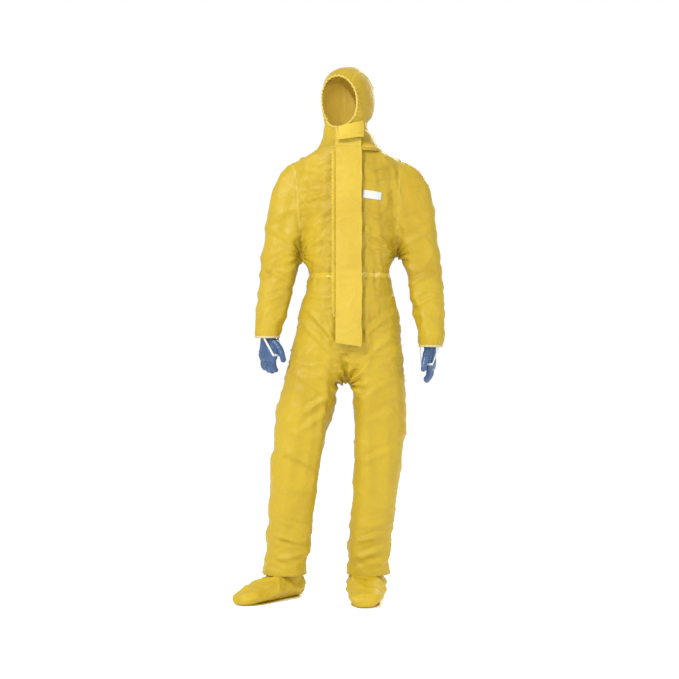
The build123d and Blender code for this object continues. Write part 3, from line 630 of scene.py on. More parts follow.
def rope_round(name, path, ways, out, along, ripple=0.0, pitch=.006, sides=10, step=.003):
    """A soft band along a closed path: half sizes out of and along the surface, with its ripples."""
    path = [Vector(p) for p in path]
    n = len(path)
    run = [0.0]
    for i in range(n):
        run.append(run[-1] + (path[(i + 1) % n] - path[i]).length)
    total = run[-1]
    count = max(int(total / step), 24)
    verts, plain = [], []
    for k in range(count):
        t = total * k / count
        i = int(np.searchsorted(run, t, side="right")) - 1
        f = (t - run[i]) / max(run[i + 1] - run[i], 1e-9)
        p = path[i].lerp(path[(i + 1) % n], f)
        w = Vector(ways[i]).lerp(Vector(ways[(i + 1) % n]), f).normalized()
        tangent = (path[(i + 1) % n] - path[i]).normalized()
        across = tangent.cross(w).normalized()
        turn = 2 * math.pi * t / pitch
        swell = 1 + ripple * math.sin(turn) + .5 * ripple * math.sin(turn / 2.7 + 1)
        for j in range(sides):
            a = 2 * math.pi * j / sides
            verts.append(p + w * (out * swell * math.cos(a)) + across * (along * math.sin(a)))
            plain.append(verts[-1])
    faces = []
    for k in range(count):
        here, ahead = k * sides, (k + 1) % count * sides
        for j in range(sides):
            faces.append((here + j, here + (j + 1) % sides, ahead + (j + 1) % sides, ahead + j))
    obj = new_mesh(name, verts, faces)
    keep_form(obj, plain)
    made[name] = obj
    return obj


for loop in rim_loops(skin_polys):
    c = S[loop].mean(0)
    if c[2] > 1.4:
        continue
    side = "right" if c[0] < 0 else "left"
    if c[2] > .8:
        rope_round(f"cuff_{side}", S[loop] + (0, 0, -.001), N[loop], .0021, .0042, .22, .0055)
    else:
        rope_round(f"hem_{side}", S[loop], N[loop], .0009, .0022, .10, .012)


def ribbon(name, cloth, path, width, lift=.0011, cols=5, closed=False, ripple=0.0, pitch=.012):
    """A thin tape sewn or bonded along a path on a plain form, laid on the draped cloth."""
    path = [Vector(p) for p in path]
    n = len(path)
    verts, plain = [], []
    for i, p in enumerate(path):
        a, b = (path[i - 1], path[(i + 1) % n]) if closed else (path[max(i - 1, 0)], path[min(i + 1, n - 1)])
        tangent = (b - a).normalized()
        _, _, spot, way = cloth.at(p)
        across = way.cross(tangent).normalized()
        for j in range(cols):
            f = j / (cols - 1) * 2 - 1
            where, out, spot, _ = cloth.at(p + across * (f * width / 2))
            up = lift * (1 - .8 * abs(f) ** 4)
            up += ripple * (1 - f * f) * (.5 + .5 * math.sin(2 * math.pi * i * .004 / pitch))
            verts.append(where + out * up)
            plain.append(spot)
    strip = np.array([tuple(v) for v in verts]).reshape(n, cols, 3)
    for _ in range(3):
        even = (np.roll(strip, 1, 0) + 2 * strip + np.roll(strip, -1, 0)) / 4
        strip = even if closed else np.concatenate([strip[:1], even[1:-1], strip[-1:]])
    verts = strip.reshape(-1, 3)
    last = n if closed else n - 1
    faces = [(i * cols + j, i * cols + j + 1, ((i + 1) % n) * cols + j + 1, ((i + 1) % n) * cols + j)
             for i in range(last) for j in range(cols - 1)]
    obj = new_mesh(name, verts, faces)
    keep_form(obj, plain)
    made[name] = obj
    return obj


def resampled(path, step=.004, closed=False):
    """Points a step apart along a line of points, after smoothing out its corners."""
    p = np.array([tuple(v) for v in path], float)
    for _ in range(3):
        q = p.copy()
        q[1:-1] = (p[:-2] + 2 * p[1:-1] + p[2:]) / 4
        p = q
    if closed:
        p = np.vstack([p, p[:1]])
    gaps = np.linalg.norm(np.diff(p, axis=0), axis=1)
    run = np.concatenate([[0], np.cumsum(gaps)])
    t = np.linspace(0, run[-1], max(int(run[-1] / step), 2) + 1)
    out = np.stack([np.interp(t, run, p[:, k]) for k in range(3)], 1)
    return out[:-1] if closed else out


# seams: round each armhole, down each side and leg, and round the neck
for side, sign in SIDES.items():
    path = []
    edge = lambda z: abs(np.interp(z, [1.187, 1.502], [.163, .196] if sign < 0 else [.170, .180]))
    for a in np.linspace(-48, 228, 90):
        t = math.radians(a)
        way = Vector((0, -math.cos(t), math.sin(t)))
        x = edge(1.35)
        for _ in range(3):
            hit = body_cloth.cast((sign * x, .008, 1.335), way)
            if hit is None:
                break
            x = edge(hit.z)
        if hit is not None:
            path.append(hit)
    ribbon(f"armhole_seam_{side}", body_cloth, resampled(path), .013)
    heights = np.linspace(armpit[side] - .030, panel_bottom + .004, 60)
    path = [body_cloth.cast((sign * .02, .004, z), (sign, 0, 0)) for z in heights]
    ribbon(f"side_seam_{side}", body_cloth, resampled([p for p in path if p is not None and abs(p.x) < .2]), .012)


def level_path(y, z, count):
    """The points where rays from the body's middle meet its form at one height, all the way round."""
    turns = np.linspace(0, 2 * math.pi, count, endpoint=False)
    path = [body_cloth.cast((0, y, z), (math.sin(t), -math.cos(t), 0)) for t in turns]
    return [p for p in path if p is not None]


neck_path = level_path(-.02, 1.5385, 120)


# ---------------------------------------------------------------- the hood
neck_pivot = joint_at("hood_turn")
mean_of = lambda node: np.vstack(cad_edges(node)).mean(0)
U = Vector(mean_of("hood_panel_left") - mean_of("hood_panel_right"))
U.z = 0
U.normalize()                          # across the face, towards the wearer's left
A = Vector((U.y, -U.x, 0))             # ahead of the face
HOOD_SHELL = ["hood_centre_panel", "hood_panel_right", "hood_panel_left"]
rim_low, rim_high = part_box("face_elastic")
RIM_PROUD, RIM_WIDTH = .0028, .0075    # how far the CAD elastic stands out of the hood, and its width


def local_cut(nodes, z):
    """Across and ahead distances of the points where a level cuts CAD nodes."""
    found = []
    for node in nodes:
        a, b = cad_edges(node)
        hit = ((a[:, 2] - z) * (b[:, 2] - z) <= 0) & (np.abs(a[:, 2] - b[:, 2]) > 1e-7)
        a, b = a[hit], b[hit]
        found.append(a + (b - a) * ((z - a[:, 2]) / (b[:, 2] - a[:, 2]))[:, None])
    p = np.vstack(found) - np.array(neck_pivot)
    return p @ np.array(U), p @ np.array(A)


rim_top = rim_high[2] - RIM_WIDTH + .001
profile = []                           # height, half width, middle ahead, half depth
for z in (collar_low[2] + .002, (collar_low[2] + collar_high[2]) / 2, collar_high[2] - .001):
    x, y, a, b = section(["collar"], z)
    d = Vector((x, y, 0)) - Vector((neck_pivot.x, neck_pivot.y, 0))
    profile.append((z, a, d.dot(A), b, d.dot(U)))
for z in np.linspace(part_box("hood_neck")[0][2] + .012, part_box("hood_neck")[1][2] - .002, 5):
    u, v = local_cut(["hood_neck"], z)
    profile.append((z, (u.max() - u.min()) / 2, (v.max() + v.min()) / 2, (v.max() - v.min()) / 2, 0))
for z in np.linspace(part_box("hood_centre_panel")[0][2] + .002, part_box("hood_centre_panel")[1][2] - .001, 30):
    u, v = local_cut(HOOD_SHELL, z)
    half, back = (u.max() - u.min()) / 2, v.min()
    if rim_low[2] + .006 < z < rim_top + .004:
        ru, rv = local_cut(["face_elastic"], z)
        k = int(np.argmax(rv))
        ru, rv = abs(ru[k]), rv[k] - RIM_PROUD
        depth = (rv - back) / (1 + math.sqrt(max(1 - (ru / half) ** 2, 0)))
    else:
        depth = (v.max() - back) / 2
    profile.append((z, half, back + depth, depth, 0))
profile.append((cad_high[2] + .0015, .001, profile[-1][2], .001, 0))
profile = np.array(profile)
for _ in range(2):
    profile[3:-3, 1:4] = (profile[2:-4, 1:4] + 2 * profile[3:-3, 1:4] + profile[4:-2, 1:4]) / 4
profile[0, 0] = collar_low[2] - .009   # the skirt runs down into the neck seam
gap = np.linalg.norm(np.diff(profile[:, :2], axis=0), axis=1)
run = np.concatenate([[0], np.cumsum(gap)])
ROWS, COLS = 74, 126
rows = np.linspace(0, run[-1], ROWS)
grid = np.stack([np.interp(rows, run, profile[:, k]) for k in range(5)], 1)
# the skirt spreads onto the shoulders
skirt = smooth_step((1.600 - grid[:, 0]) / .05)


def hood_at(turn, z, half, ahead, depth, shift, spread):
    """A point of the hood: turn is 0 at the face."""
    u = shift + (half + spread * .010) * math.copysign(abs(math.sin(turn)) ** .96, math.sin(turn))
    v = ahead + (depth + spread * .004) * math.copysign(abs(math.cos(turn)) ** .96, math.cos(turn))
    return Vector((neck_pivot.x, neck_pivot.y, z)) + U * u + A * v


FACE_TOP, FACE_BOTTOM, FACE_HALF = rim_top - .011, 1.6185, .0655
face_mid_z = FACE_BOTTOM + (FACE_TOP - FACE_BOTTOM) * .53


def face_edge(angle):
    """The egg-shaped face opening: across and up from its middle, at an angle round it."""
    c, s = math.cos(angle), math.sin(angle)
    if s >= 0:
        return FACE_HALF * c, (FACE_TOP - face_mid_z) * s
    half = FACE_HALF * (1 - .20 * s * s)
    return half * math.copysign(abs(c) ** .74, c), (face_mid_z - FACE_BOTTOM) * math.copysign(abs(s) ** .80, s)


edge_pts = np.array([face_edge(a) for a in np.linspace(-math.pi, math.pi, 721)])
edge_ang, edge_r = np.arctan2(edge_pts[:, 1], edge_pts[:, 0]), np.hypot(edge_pts[:, 0], edge_pts[:, 1])
order = np.argsort(edge_ang)
edge_ang, edge_r = edge_ang[order], edge_r[order]


def row_at(z):
    """Half width, middle, half depth, shift and spread of the hood at a height, below the crown."""
    return [float(np.interp(z, grid[:, 0], column)) for column in (*grid[:, 1:].T, skirt)]


hood_v, where = [], []
for i in range(ROWS - 1):
    z, half, ahead, depth, shift = grid[i]
    for j in range(COLS):
        t = 2 * math.pi * j / COLS - math.pi
        hood_v.append(hood_at(t, z, half, ahead, depth, shift, skirt[i]))
        where.append((half * math.sin(t) if abs(t) < 1.45 else 9.0, z))
where = np.array(where)
rel = where - (0, face_mid_z)
far = np.hypot(rel[:, 0], rel[:, 1])
limit = np.interp(np.arctan2(rel[:, 1], rel[:, 0]), edge_ang, edge_r, period=2 * math.pi)
inside = far < limit + .0012
faces = []
for i in range(ROWS - 2):
    for j in range(COLS):
        q = (i * COLS + j, i * COLS + (j + 1) % COLS, (i + 1) * COLS + (j + 1) % COLS, (i + 1) * COLS + j)
        if not all(inside[k] for k in q) and sum(inside[k] for k in q) < 3:
            faces.append(q)
top = len(hood_v)
hood_v.append(Vector((neck_pivot.x, neck_pivot.y, grid[-1][0])) + A * grid[-1][2])
faces += [((ROWS - 2) * COLS + j, (ROWS - 2) * COLS + (j + 1) % COLS, top) for j in range(COLS)]
used = sorted({v for f in faces for v in f})
remap = {v: i for i, v in enumerate(used)}
faces = [tuple(remap[v] for v in f) for f in faces]
co = [hood_v[v].copy() for v in used]
# the points round the hole slide along the hood onto the opening's edge
loops = rim_loops(faces)
face_loop = max(loops, key=lambda l: np.mean([co[k].z for k in l]))
for k in face_loop:
    u, z = where[used[k]]
    ang = math.atan2(z - face_mid_z, u)
    r = float(np.interp(ang, edge_ang, edge_r, period=2 * math.pi))
    u, z = r * math.cos(ang), face_mid_z + r * math.sin(ang)
    half, ahead, depth, shift, spread = row_at(z)
    co[k] = hood_at(math.asin(max(min(u / half, 1), -1)), z, half, ahead, depth, shift, spread)
hood = new_mesh("hood", co, faces)
sm = hood.modifiers.new("even", "SMOOTH")
sm.factor, sm.iterations = .35, 2
pin = hood.vertex_groups.new(name="free")
pin.add([k for k in range(len(co)) if k not in set(face_loop) and co[k].z > 1.55], 1.0, "REPLACE")
sm.vertex_group = "free"
apply_modifiers(hood)
hood.vertex_groups.clear()
HF = coords(hood)
hn = normals(hood).copy()
if np.mean(np.sum(hn * (HF - HF.mean(0)), 1)) < 0:
    hood.data.flip_normals()
    hn = normals(hood).copy()
hood_faces = [tuple(p.vertices) for p in hood.data.polygons]


def from_face(p):
    """How far each point is from the opening's edge, seen from ahead, and the angle round it."""
    r = p - np.array(neck_pivot)
    u, v, z = r @ np.array(U), r @ np.array(A), p[:, 2] - face_mid_z
    ang = np.arctan2(z, u)
    away = np.hypot(u, z) - np.interp(ang, edge_ang, edge_r, period=2 * math.pi)
    return np.where(v > 0, away, .2), ang


hz = HF[:, 2]
away, ang = from_face(HF)
hood_cut = HF.copy()
hood_cut[:, 2] = np.interp(hz, [1.541, 1.60, 1.68, 1.84], [1.530, 1.598, 1.684, 1.846])
hood_cut += hn * np.interp(hz, [1.54, 1.60, 1.66, 1.76, 1.84], [.004, .006, .004, .003, .001])[:, None]
hood_hold = np.maximum(smooth_step((.010 - away) / .008), smooth_step((1.552 - hz) / .006))
HS = draped(hood, hood_cut, hood_hold, .010, 18, .016)
HF, HS = made_finer(hood, HF, HS)
hn = normals(hood).copy()
away, ang = from_face(HF)
hz = HF[:, 2]
r = HF - np.array(neck_pivot)
hu, hv = r @ np.array(U), r @ np.array(A)
lift = .0018 * waves(HF, (9, 9, 12), 21.0, 3)
lift += .0034 * creases(HF, (8, 8, 9), 31.0, 9) * smooth_step(away / .03) - .0006
lift += .0019 * np.cos(ang * 34 + 3 * waves(HF, (20, 20, 20), 2.0, 1)) * np.exp(-(away / .014) ** 2)
lift += .0046 * waves(HF, (16, 16, 7), 41.0, 2) * band(hz, 1.555, 1.655, .02)
lift -= .0030 * np.exp(-((hz - (1.632 + .1 * hu)) / .010) ** 2) * smooth_step((.02 - hv) / .03)
seam_at = np.abs(np.abs(hu) - .052)
lift -= .0011 * np.exp(-(seam_at / .0035) ** 2) * (hz > 1.62) * (np.abs(hu) < .075)
lift *= smooth_step((hz - 1.541) / .012)
HS = HS + hn * lift[:, None]
set_coords(hood, HS)
keep_form(hood, HF)
made["hood"] = hood
hood_faces = [tuple(p.vertices) for p in hood.data.polygons]
hood_normals = normals(hood).copy()
hood_cloth = Cloth(HF, HS, hood_normals, hood_faces)
loops = rim_loops(hood_faces)
face_loop = max(loops, key=lambda l: HS[l][:, 2].mean())
rope_round("face_binding", HS[face_loop], hood_normals[face_loop], .0026, .0042, .10, .0095)
for side, sign in SIDES.items():
    path = []
    base = Vector((neck_pivot.x, neck_pivot.y, 1.70)) + U * (.052 * sign)
    for a in np.linspace(44, 250, 90):
        t = math.radians(a)
        hit = hood_cloth.cast(base, A * math.cos(t) + Z * math.sin(t))
        if hit is not None and hit.z > 1.56 and from_face(np.array([tuple(hit)]))[0][0] > .004:
            path.append(hit)
    ribbon(f"hood_seam_{side}", hood_cloth, resampled(path), .010, lift=.0007)
neck_path = [hood_cloth.at(p + Vector((0, 0, .011)))[2] for p in neck_path]
ribbon("neck_seam", hood_cloth, resampled(neck_path, closed=True), .010, lift=.0009, closed=True, ripple=.0004)


# ---------------------------------------------------------------- flat pieces in front of the body
def cad_tree(node):
    mesh = frame["nodes"][node].data
    polys = [tuple(p.vertices) for p in mesh.polygons]
    return BVHTree.FromPolygons([v.co.copy() for v in mesh.vertices], polys)


def panel(name, node, step, thick, wave=None, x_range=None, z_range=None, fit=None):
    """A sheet over the front of a CAD node: a grid of its front face, waved, with a back face and edges."""
    low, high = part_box(node)
    x0, x1 = x_range or (low[0], high[0])
    z0, z1 = z_range or (low[2], high[2])
    tree = cad_tree(node)
    nx, nz = max(int((x1 - x0) / step), 4), max(int((z1 - z0) / step), 4)
    front, flat = [], []
    for j in range(nz + 1):
        for i in range(nx + 1):
            a, b = i / nx, j / nz
            x, z = x0 + (x1 - x0) * a, z0 + (z1 - z0) * b
            if fit:
                x, z = fit(x, z, a, b)
            cx, cz = min(max(x, low[0] + 1e-4), high[0] - 1e-4), min(max(z, low[2] + 1e-4), high[2] - 1e-4)
            hit = tree.ray_cast(Vector((cx, -.5, cz)), Vector((0, 1, 0)))[0]
            if hit is None:
                hit = tree.find_nearest(Vector((cx, low[1] - .02, cz)))[0]
            flat.append((x, hit.y, z))
    flat = np.array(flat)
    out = wave(flat) if wave else np.zeros(len(flat))
    front = flat.copy()
    front[:, 1] -= out
    rear = front.copy()
    rear[:, 1] += thick
    n, w = len(front), nx + 1
    verts = np.vstack([front, rear])
    faces = []
    for j in range(nz):
        for i in range(nx):
            k = j * w + i
            faces.append((k, k + 1, k + 1 + w, k + w))
            faces.append((n + k, n + k + w, n + k + 1 + w, n + k + 1))
    border = list(range(w)) + [j * w + nx for j in range(1, nz + 1)]
    border += [nz * w + i for i in range(nx - 1, -1, -1)] + [j * w for j in range(nz - 1, 0, -1)]
    for a, b in zip(border, border[1:] + border[:1]):
        faces.append((b, a, n + a, n + b))
    obj = new_mesh(name, verts, faces)
    keep_form(obj, verts)
    made[name] = obj
    return obj


FLAP_FOLDS = [
    ((-.050, .902), (.000, .872), .009, .0035), ((-.045, .960), (.040, .925), .012, .0020),
    ((-.044, 1.118), (.040, 1.108), .010, .0022), ((-.044, 1.142), (.040, 1.150), .010, .0016),
]


def flap_wave(p):
    """How far the storm flap stands out of its plain shape."""
    x, z = p[:, 0], p[:, 2]
    across = (x - flap_low[0]) / (flap_high[0] - flap_low[0])
    out = .0016 * np.sin(np.pi * np.clip(across, 0, 1))
    out += .0030 * waves(p, (7, 0, 6), 51.0, 2) * smooth_step(across * 3)
    out += .0016 * waves(p, (5, 0, 42), 61.0, 2) * np.exp(-(across / .28) ** 2)
    out += .0022 * creases(p, (9, 0, 13), 71.0, 10) * smooth_step(across * 4)
    out += .0012 * waves(p, (6, 0, 30), 81.0, 1) * smooth_step((across - .72) / .25)
    out += .0010 * smooth_step((across - .9) / .1)
    out -= .0028 * np.exp(-((z - 1.546 - .05 * x) / .006) ** 2) - .0016 * np.exp(-((z - 1.556) / .006) ** 2)
    return out + fold_lines(p, FLAP_FOLDS)


def flap_fit(x, z, a, b):
    """The flap's free edge wanders a little, its corners are rounded and its bottom slants."""
    x += (.0011 * math.sin(z * 31) + .0007 * math.sin(z * 83 + 1)) * a
    corner = max(0.0, 1 - min(b, 1 - b) * (flap_high[2] - flap_low[2]) / .016)
    z += .0008 * math.sin(x * 60) + .014 * (1 - a) * max(0, 1 - 14 * b)
    return x - .004 * corner * corner * (a > .5) * (a - .5) * 2, z


panel("storm_flap_sheet", "storm_flap", .0022, .0009, flap_wave, fit=flap_fit)
seam_low, seam_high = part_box("storm_flap_seam")


def seam_wave(p):
    across = (p[:, 0] - seam_low[0]) / (seam_high[0] - seam_low[0])
    pucker = np.sin(2 * np.pi * (p[:, 2] / .0125 + .9 * waves(p, (0, 0, 22), 5.0, 2)))
    crown = np.sin(np.pi * np.clip(across, 0, 1)) ** .7
    return (.0004 + .0013 * (.5 + .5 * pucker) * crown) * band(p[:, 2], .93, 1.52, .02)


def seam_fit(x, z, a, b):
    """The stitched strip runs out to a point at its lower end."""
    return seam_high[0] - (seam_high[0] - x) * min(1, .1 + b * 12) ** .5, z


panel("storm_flap_stitching", "storm_flap_seam", .0018, .0010, seam_wave,
      x_range=(seam_low[0] + .0005, seam_high[0]), fit=seam_fit)
chin_low, chin_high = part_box("chin_flap")


def chin_fit(x, z, a, b):
    top = chin_high[2] - .026 + .020 * a ** 1.6 - .008 * max(0.0, 1 - a / .42) ** 1.6
    bottom = chin_low[2] - .012 + .0095 * smooth_step(np.array([(a - .12) / .88]))[0]
    return x + .0015 * math.sin(b * 3.1), bottom + (top - bottom) * b


def chin_wave(p):
    out = .0012 * waves(p, (14, 0, 18), 91.0, 2) + .0012 * np.exp(-((p[:, 0] - chin_low[0]) / .006) ** 2)
    return out + fold_lines(p, [((-.030, 1.600), (.040, 1.622), .007, .0020)])


panel("chin_flap_sheet", "chin_flap", .0020, .0010, chin_wave, fit=chin_fit)
# piece, CAD node, grid step and thickness
STRIPS = [
    ("flap_strip", "storm_flap_adhesive", .003, .0004), ("chin_strip", "chin_flap_adhesive", .003, .0004),
    ("landing_strip", "flap_adhesive_landing", .003, .0004), ("zip_backing", "zip_guard", .004, .0005),
    ("zip_tape_right", "zipper_tape_right", .0025, .0007), ("zip_tape_left", "zipper_tape_left", .0025, .0007),
]
for name, node, step, thick in STRIPS:
    heights = (chin_low[2], chin_high[2] - .042) if name == "chin_strip" else None
    panel(name, node, step, thick, lambda p: .00012 * waves(p, (60, 0, 60), 4.0, 1), z_range=heights)

# the label: a stiff card on the chest, held off the cloth's wrinkles
tilt = math.radians(6)
half_w, half_h = .0345, .0145
card, flat = [], []
for j in range(9):
    for i in range(17):
        a, b = (i / 16 * 2 - 1) * half_w, (j / 8 * 2 - 1) * half_h
        x = label_centre.x + a * math.cos(tilt) + b * math.sin(tilt)
        z = label_centre.z - a * math.sin(tilt) + b * math.cos(tilt)
        spot = body_cloth.cast((x, -.5, z), (0, 1, 0))
        place, out, _, _ = body_cloth.at(spot)
        card.append(place + out * .0016)
        flat.append((a, 0, b))
card = np.array([tuple(p) for p in card]).reshape(9, 17, 3)
for _ in range(6):
    card[1:-1, 1:-1] = (card[:-2, 1:-1] + card[2:, 1:-1] + card[1:-1, :-2] + card[1:-1, 2:]) / 4
card = card.reshape(-1, 3)
faces = [(k, k + 1, k + 18, k + 17) for j in range(8) for k in range(j * 17, j * 17 + 16)]
label = new_mesh("label", card, faces)
keep_form(label, flat)
thick = label.modifiers.new("card", "SOLIDIFY")
thick.thickness, thick.offset = .0006, -1
made["label"] = label


# ---------------------------------------------------------------- gloves, thumb loops, socks
def outside_of(node, cut):
    """The outside of a thin CAD shell below a height, closed with a flat lid."""
    bm = bmesh.new()
    bm.from_mesh(frame["nodes"][node].data)
    bmesh.ops.remove_doubles(bm, verts=bm.verts, dist=2e-5)
    everything = bm.verts[:] + bm.edges[:] + bm.faces[:]
    bmesh.ops.bisect_plane(bm, geom=everything, dist=1e-6, plane_co=(0, 0, cut), plane_no=Z, clear_outer=True)
    # above the cut the inside and outside no longer meet, so the outside is the island with the larger area
    left, best = set(bm.faces), (0, None)
    while left:
        seed = next(iter(left))
        island, todo = {seed}, [seed]
        while todo:
            for e in todo.pop().edges:
                for f in e.link_faces:
                    if f not in island:
                        island.add(f)
                        todo.append(f)
        left -= island
        best = max(best, (sum(f.calc_area() for f in island), island), key=lambda t: t[0])
    bmesh.ops.delete(bm, geom=[f for f in bm.faces if f not in best[1]], context="FACES")
    bmesh.ops.delete(bm, geom=[v for v in bm.verts if not v.link_faces], context="VERTS")
    rim = [e for e in bm.edges if e.is_boundary]
    bmesh.ops.triangle_fill(bm, edges=rim, use_beauty=True, use_dissolve=False)
    bmesh.ops.recalc_face_normals(bm, faces=bm.faces)
    return bm


def remade(name, bm, voxel, smooth):
    mesh = bpy.data.meshes.new(name)
    bm.to_mesh(mesh)
    bm.free()
    obj = bpy.data.objects.new(name, mesh)
    scene.collection.objects.link(obj)
    m = obj.modifiers.new("v", "REMESH")
    m.mode, m.voxel_size, m.use_smooth_shade = "VOXEL", voxel, True
    s = obj.modifiers.new("s", "SMOOTH")
    s.factor, s.iterations = .5, smooth
    apply_modifiers(obj)
    obj.data.polygons.foreach_set("use_smooth", [True] * len(obj.data.polygons))
    made[name] = obj
    return obj


def filled(node, cut, size):
    """What a thin CAD shell encloses below a height, as a solid of small blocks."""
    low, high = (np.array(v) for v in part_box(node))
    tree = cad_tree(node)
    start = low - 2.5 * size
    count = np.ceil((high - start) / size + 2.5).astype(int)
    count[2] = int((cut - start[2]) / size)
    places = np.indices(count).reshape(3, -1).T * size + start
    near = [tree.find_nearest(Vector(p), size * .56)[0] is not None for p in places.tolist()]
    wall = np.array(near).reshape(count)
    wall[:, :, -1] = True
    # air comes in from the sides and from below
    air = np.zeros(count, bool)
    air[0] = air[-1] = air[:, 0] = air[:, -1] = air[:, :, 0] = True
    air &= ~wall
    while True:
        more = air.copy()
        for axis in range(3):
            more |= np.roll(air, 1, axis) | np.roll(air, -1, axis)
        more &= ~wall
        if (more == air).all():
            break
        air = more
    solid = ~air
    solid[:, :, -1] = False
    bm = bmesh.new()
    for axis in range(3):
        u, v = np.eye(3)[(axis + 1) % 3] / 2, np.eye(3)[(axis + 2) % 3] / 2
        for way in (1, -1):
            out = np.eye(3)[axis] * way / 2
            for cell in np.argwhere(solid & ~np.roll(solid, -way, axis)):
                ring = [cell + out + (u + v), cell + out + (v - u), cell + out - (u + v), cell + out + (u - v)]
                bm.faces.new([bm.verts.new(q * size + start) for q in ring[::way]])
    bmesh.ops.remove_doubles(bm, verts=bm.verts, dist=size * .1)
    return bm


for side, sign in SIDES.items():
    node = f"glove_{side}"
    low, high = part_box(node)
    lid = high[2] - .018
    glove = remade(f"nitrile_glove_{side}", filled(node, lid, .0017), .0017, 3)
    tree = cad_tree(node)
    g = coords(glove)
    for k in range(len(g)):
        if g[k, 2] < lid - .006:
            g[k] = tree.find_nearest(Vector(g[k]))[0]
    set_coords(glove, g)
    sm = glove.modifiers.new("soften", "SMOOTH")
    sm.factor, sm.iterations = .5, 2
    apply_modifiers(glove)
    g, gn = coords(glove), normals(glove).copy()
    keep_form(glove, g)
    # wrinkles across the wrist and palm
    wrinkle = .0011 * waves(g, (30, 30, 70), 3.0 + sign, 2) * band(g[:, 2], low[2] + .055, high[2], .03)
    wrinkle += .0005 * waves(g, (90, 90, 110), 7.0, 2) + .0009 * creases(g, (26, 26, 40), 5.0 * sign, 10)
    set_coords(glove, g + gn * wrinkle[:, None])
    node = f"thumb_loop_{side}"
    bm = bmesh.new()
    bm.from_mesh(frame["nodes"][node].data)
    bmesh.ops.remove_doubles(bm, verts=bm.verts, dist=2e-5)
    loop = remade(f"thumb_elastic_{side}", bm, .0007, 4)
    g, gn = coords(loop), normals(loop).copy()
    keep_form(loop, g)
    set_coords(loop, g + gn * (.0006 + .00022 * np.sin(g[:, 2] * 2 * math.pi / .0021))[:, None])

for side, sign in SIDES.items():
    foot_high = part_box(f"sock_foot_{side}")[1]
    bm = outside_of(f"sock_foot_{side}", foot_high[2] - .006)
    ankle_low, ankle_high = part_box(f"sock_ankle_{side}")
    rings = []
    x, y, a, b = section([f"sock_ankle_{side}"], ankle_low[2] + .002)
    rings.append(oval((x, y, foot_high[2] - .050), X, Y, a * .80, b * .84))
    rings.append(oval((x, y, foot_high[2] - .006), X, Y, a * .97, b * .98))
    for z in np.linspace(ankle_low[2] + .002, min(ankle_low[2] + .07, ankle_high[2]), 5):
        x, y, a, b = section([f"sock_ankle_{side}"], z)
        rings.append(oval((x, y, z), X, Y, a, b))
    v, f = tube(rings)
    base = [bm.verts.new(p) for p in v]
    for q in f:
        bm.faces.new([base[k] for k in q])
    bmesh.ops.recalc_face_normals(bm, faces=bm.faces)
    sock = remade(f"sock_{side}", bm, .0042, 7)
    g, gn = coords(sock), normals(sock).copy()
    plain = g.copy()
    upper = smooth_step((g[:, 2] - .012) / .03)
    skew = g.copy()
    skew[:, 2] += .25 * sign * g[:, 0]
    bag = .0060 * waves(skew, (11, 11, 30), 13.0 * sign, 2) * band(g[:, 2], .045, .16, .03)
    bag += .0046 * creases(skew, (10, 10, 24), 4.0 * sign, 6) * band(g[:, 2], .03, .15, .02)
    bag += .0030 * waves(g, (16, 16, 16), 17.0, 3) * upper
    bag += .0030 * creases(g, (13, 13, 13), 23.0 * sign, 8) * upper - .0012 * upper
    bag += (.010 if sign > 0 else .004) * band(g[:, 2], .045, .085, .035) * np.abs(gn[:, 0]) ** .5
    bag *= 1.45
    g = g + gn * bag[:, None]
    g[:, 2] = np.maximum(g[:, 2], .0004)
    set_coords(sock, g)
    keep_form(sock, plain)
    # the sole's welded edge
    sole = frame["nodes"][f"sole_{side}"]
    bm = bmesh.new()
    bm.from_mesh(sole.data)
    bmesh.ops.remove_doubles(bm, verts=bm.verts, dist=2e-5)
    tread = remade(f"sock_sole_{side}", bm, .0014, 2)
    keep_form(tread, coords(tread))

# the waist's elastic channel
ribbon("waist_channel", body_cloth, resampled(level_path(-.01, waist_z, 160), closed=True), .017, lift=.0007,
       closed=True, ripple=.0019, pitch=.0115)


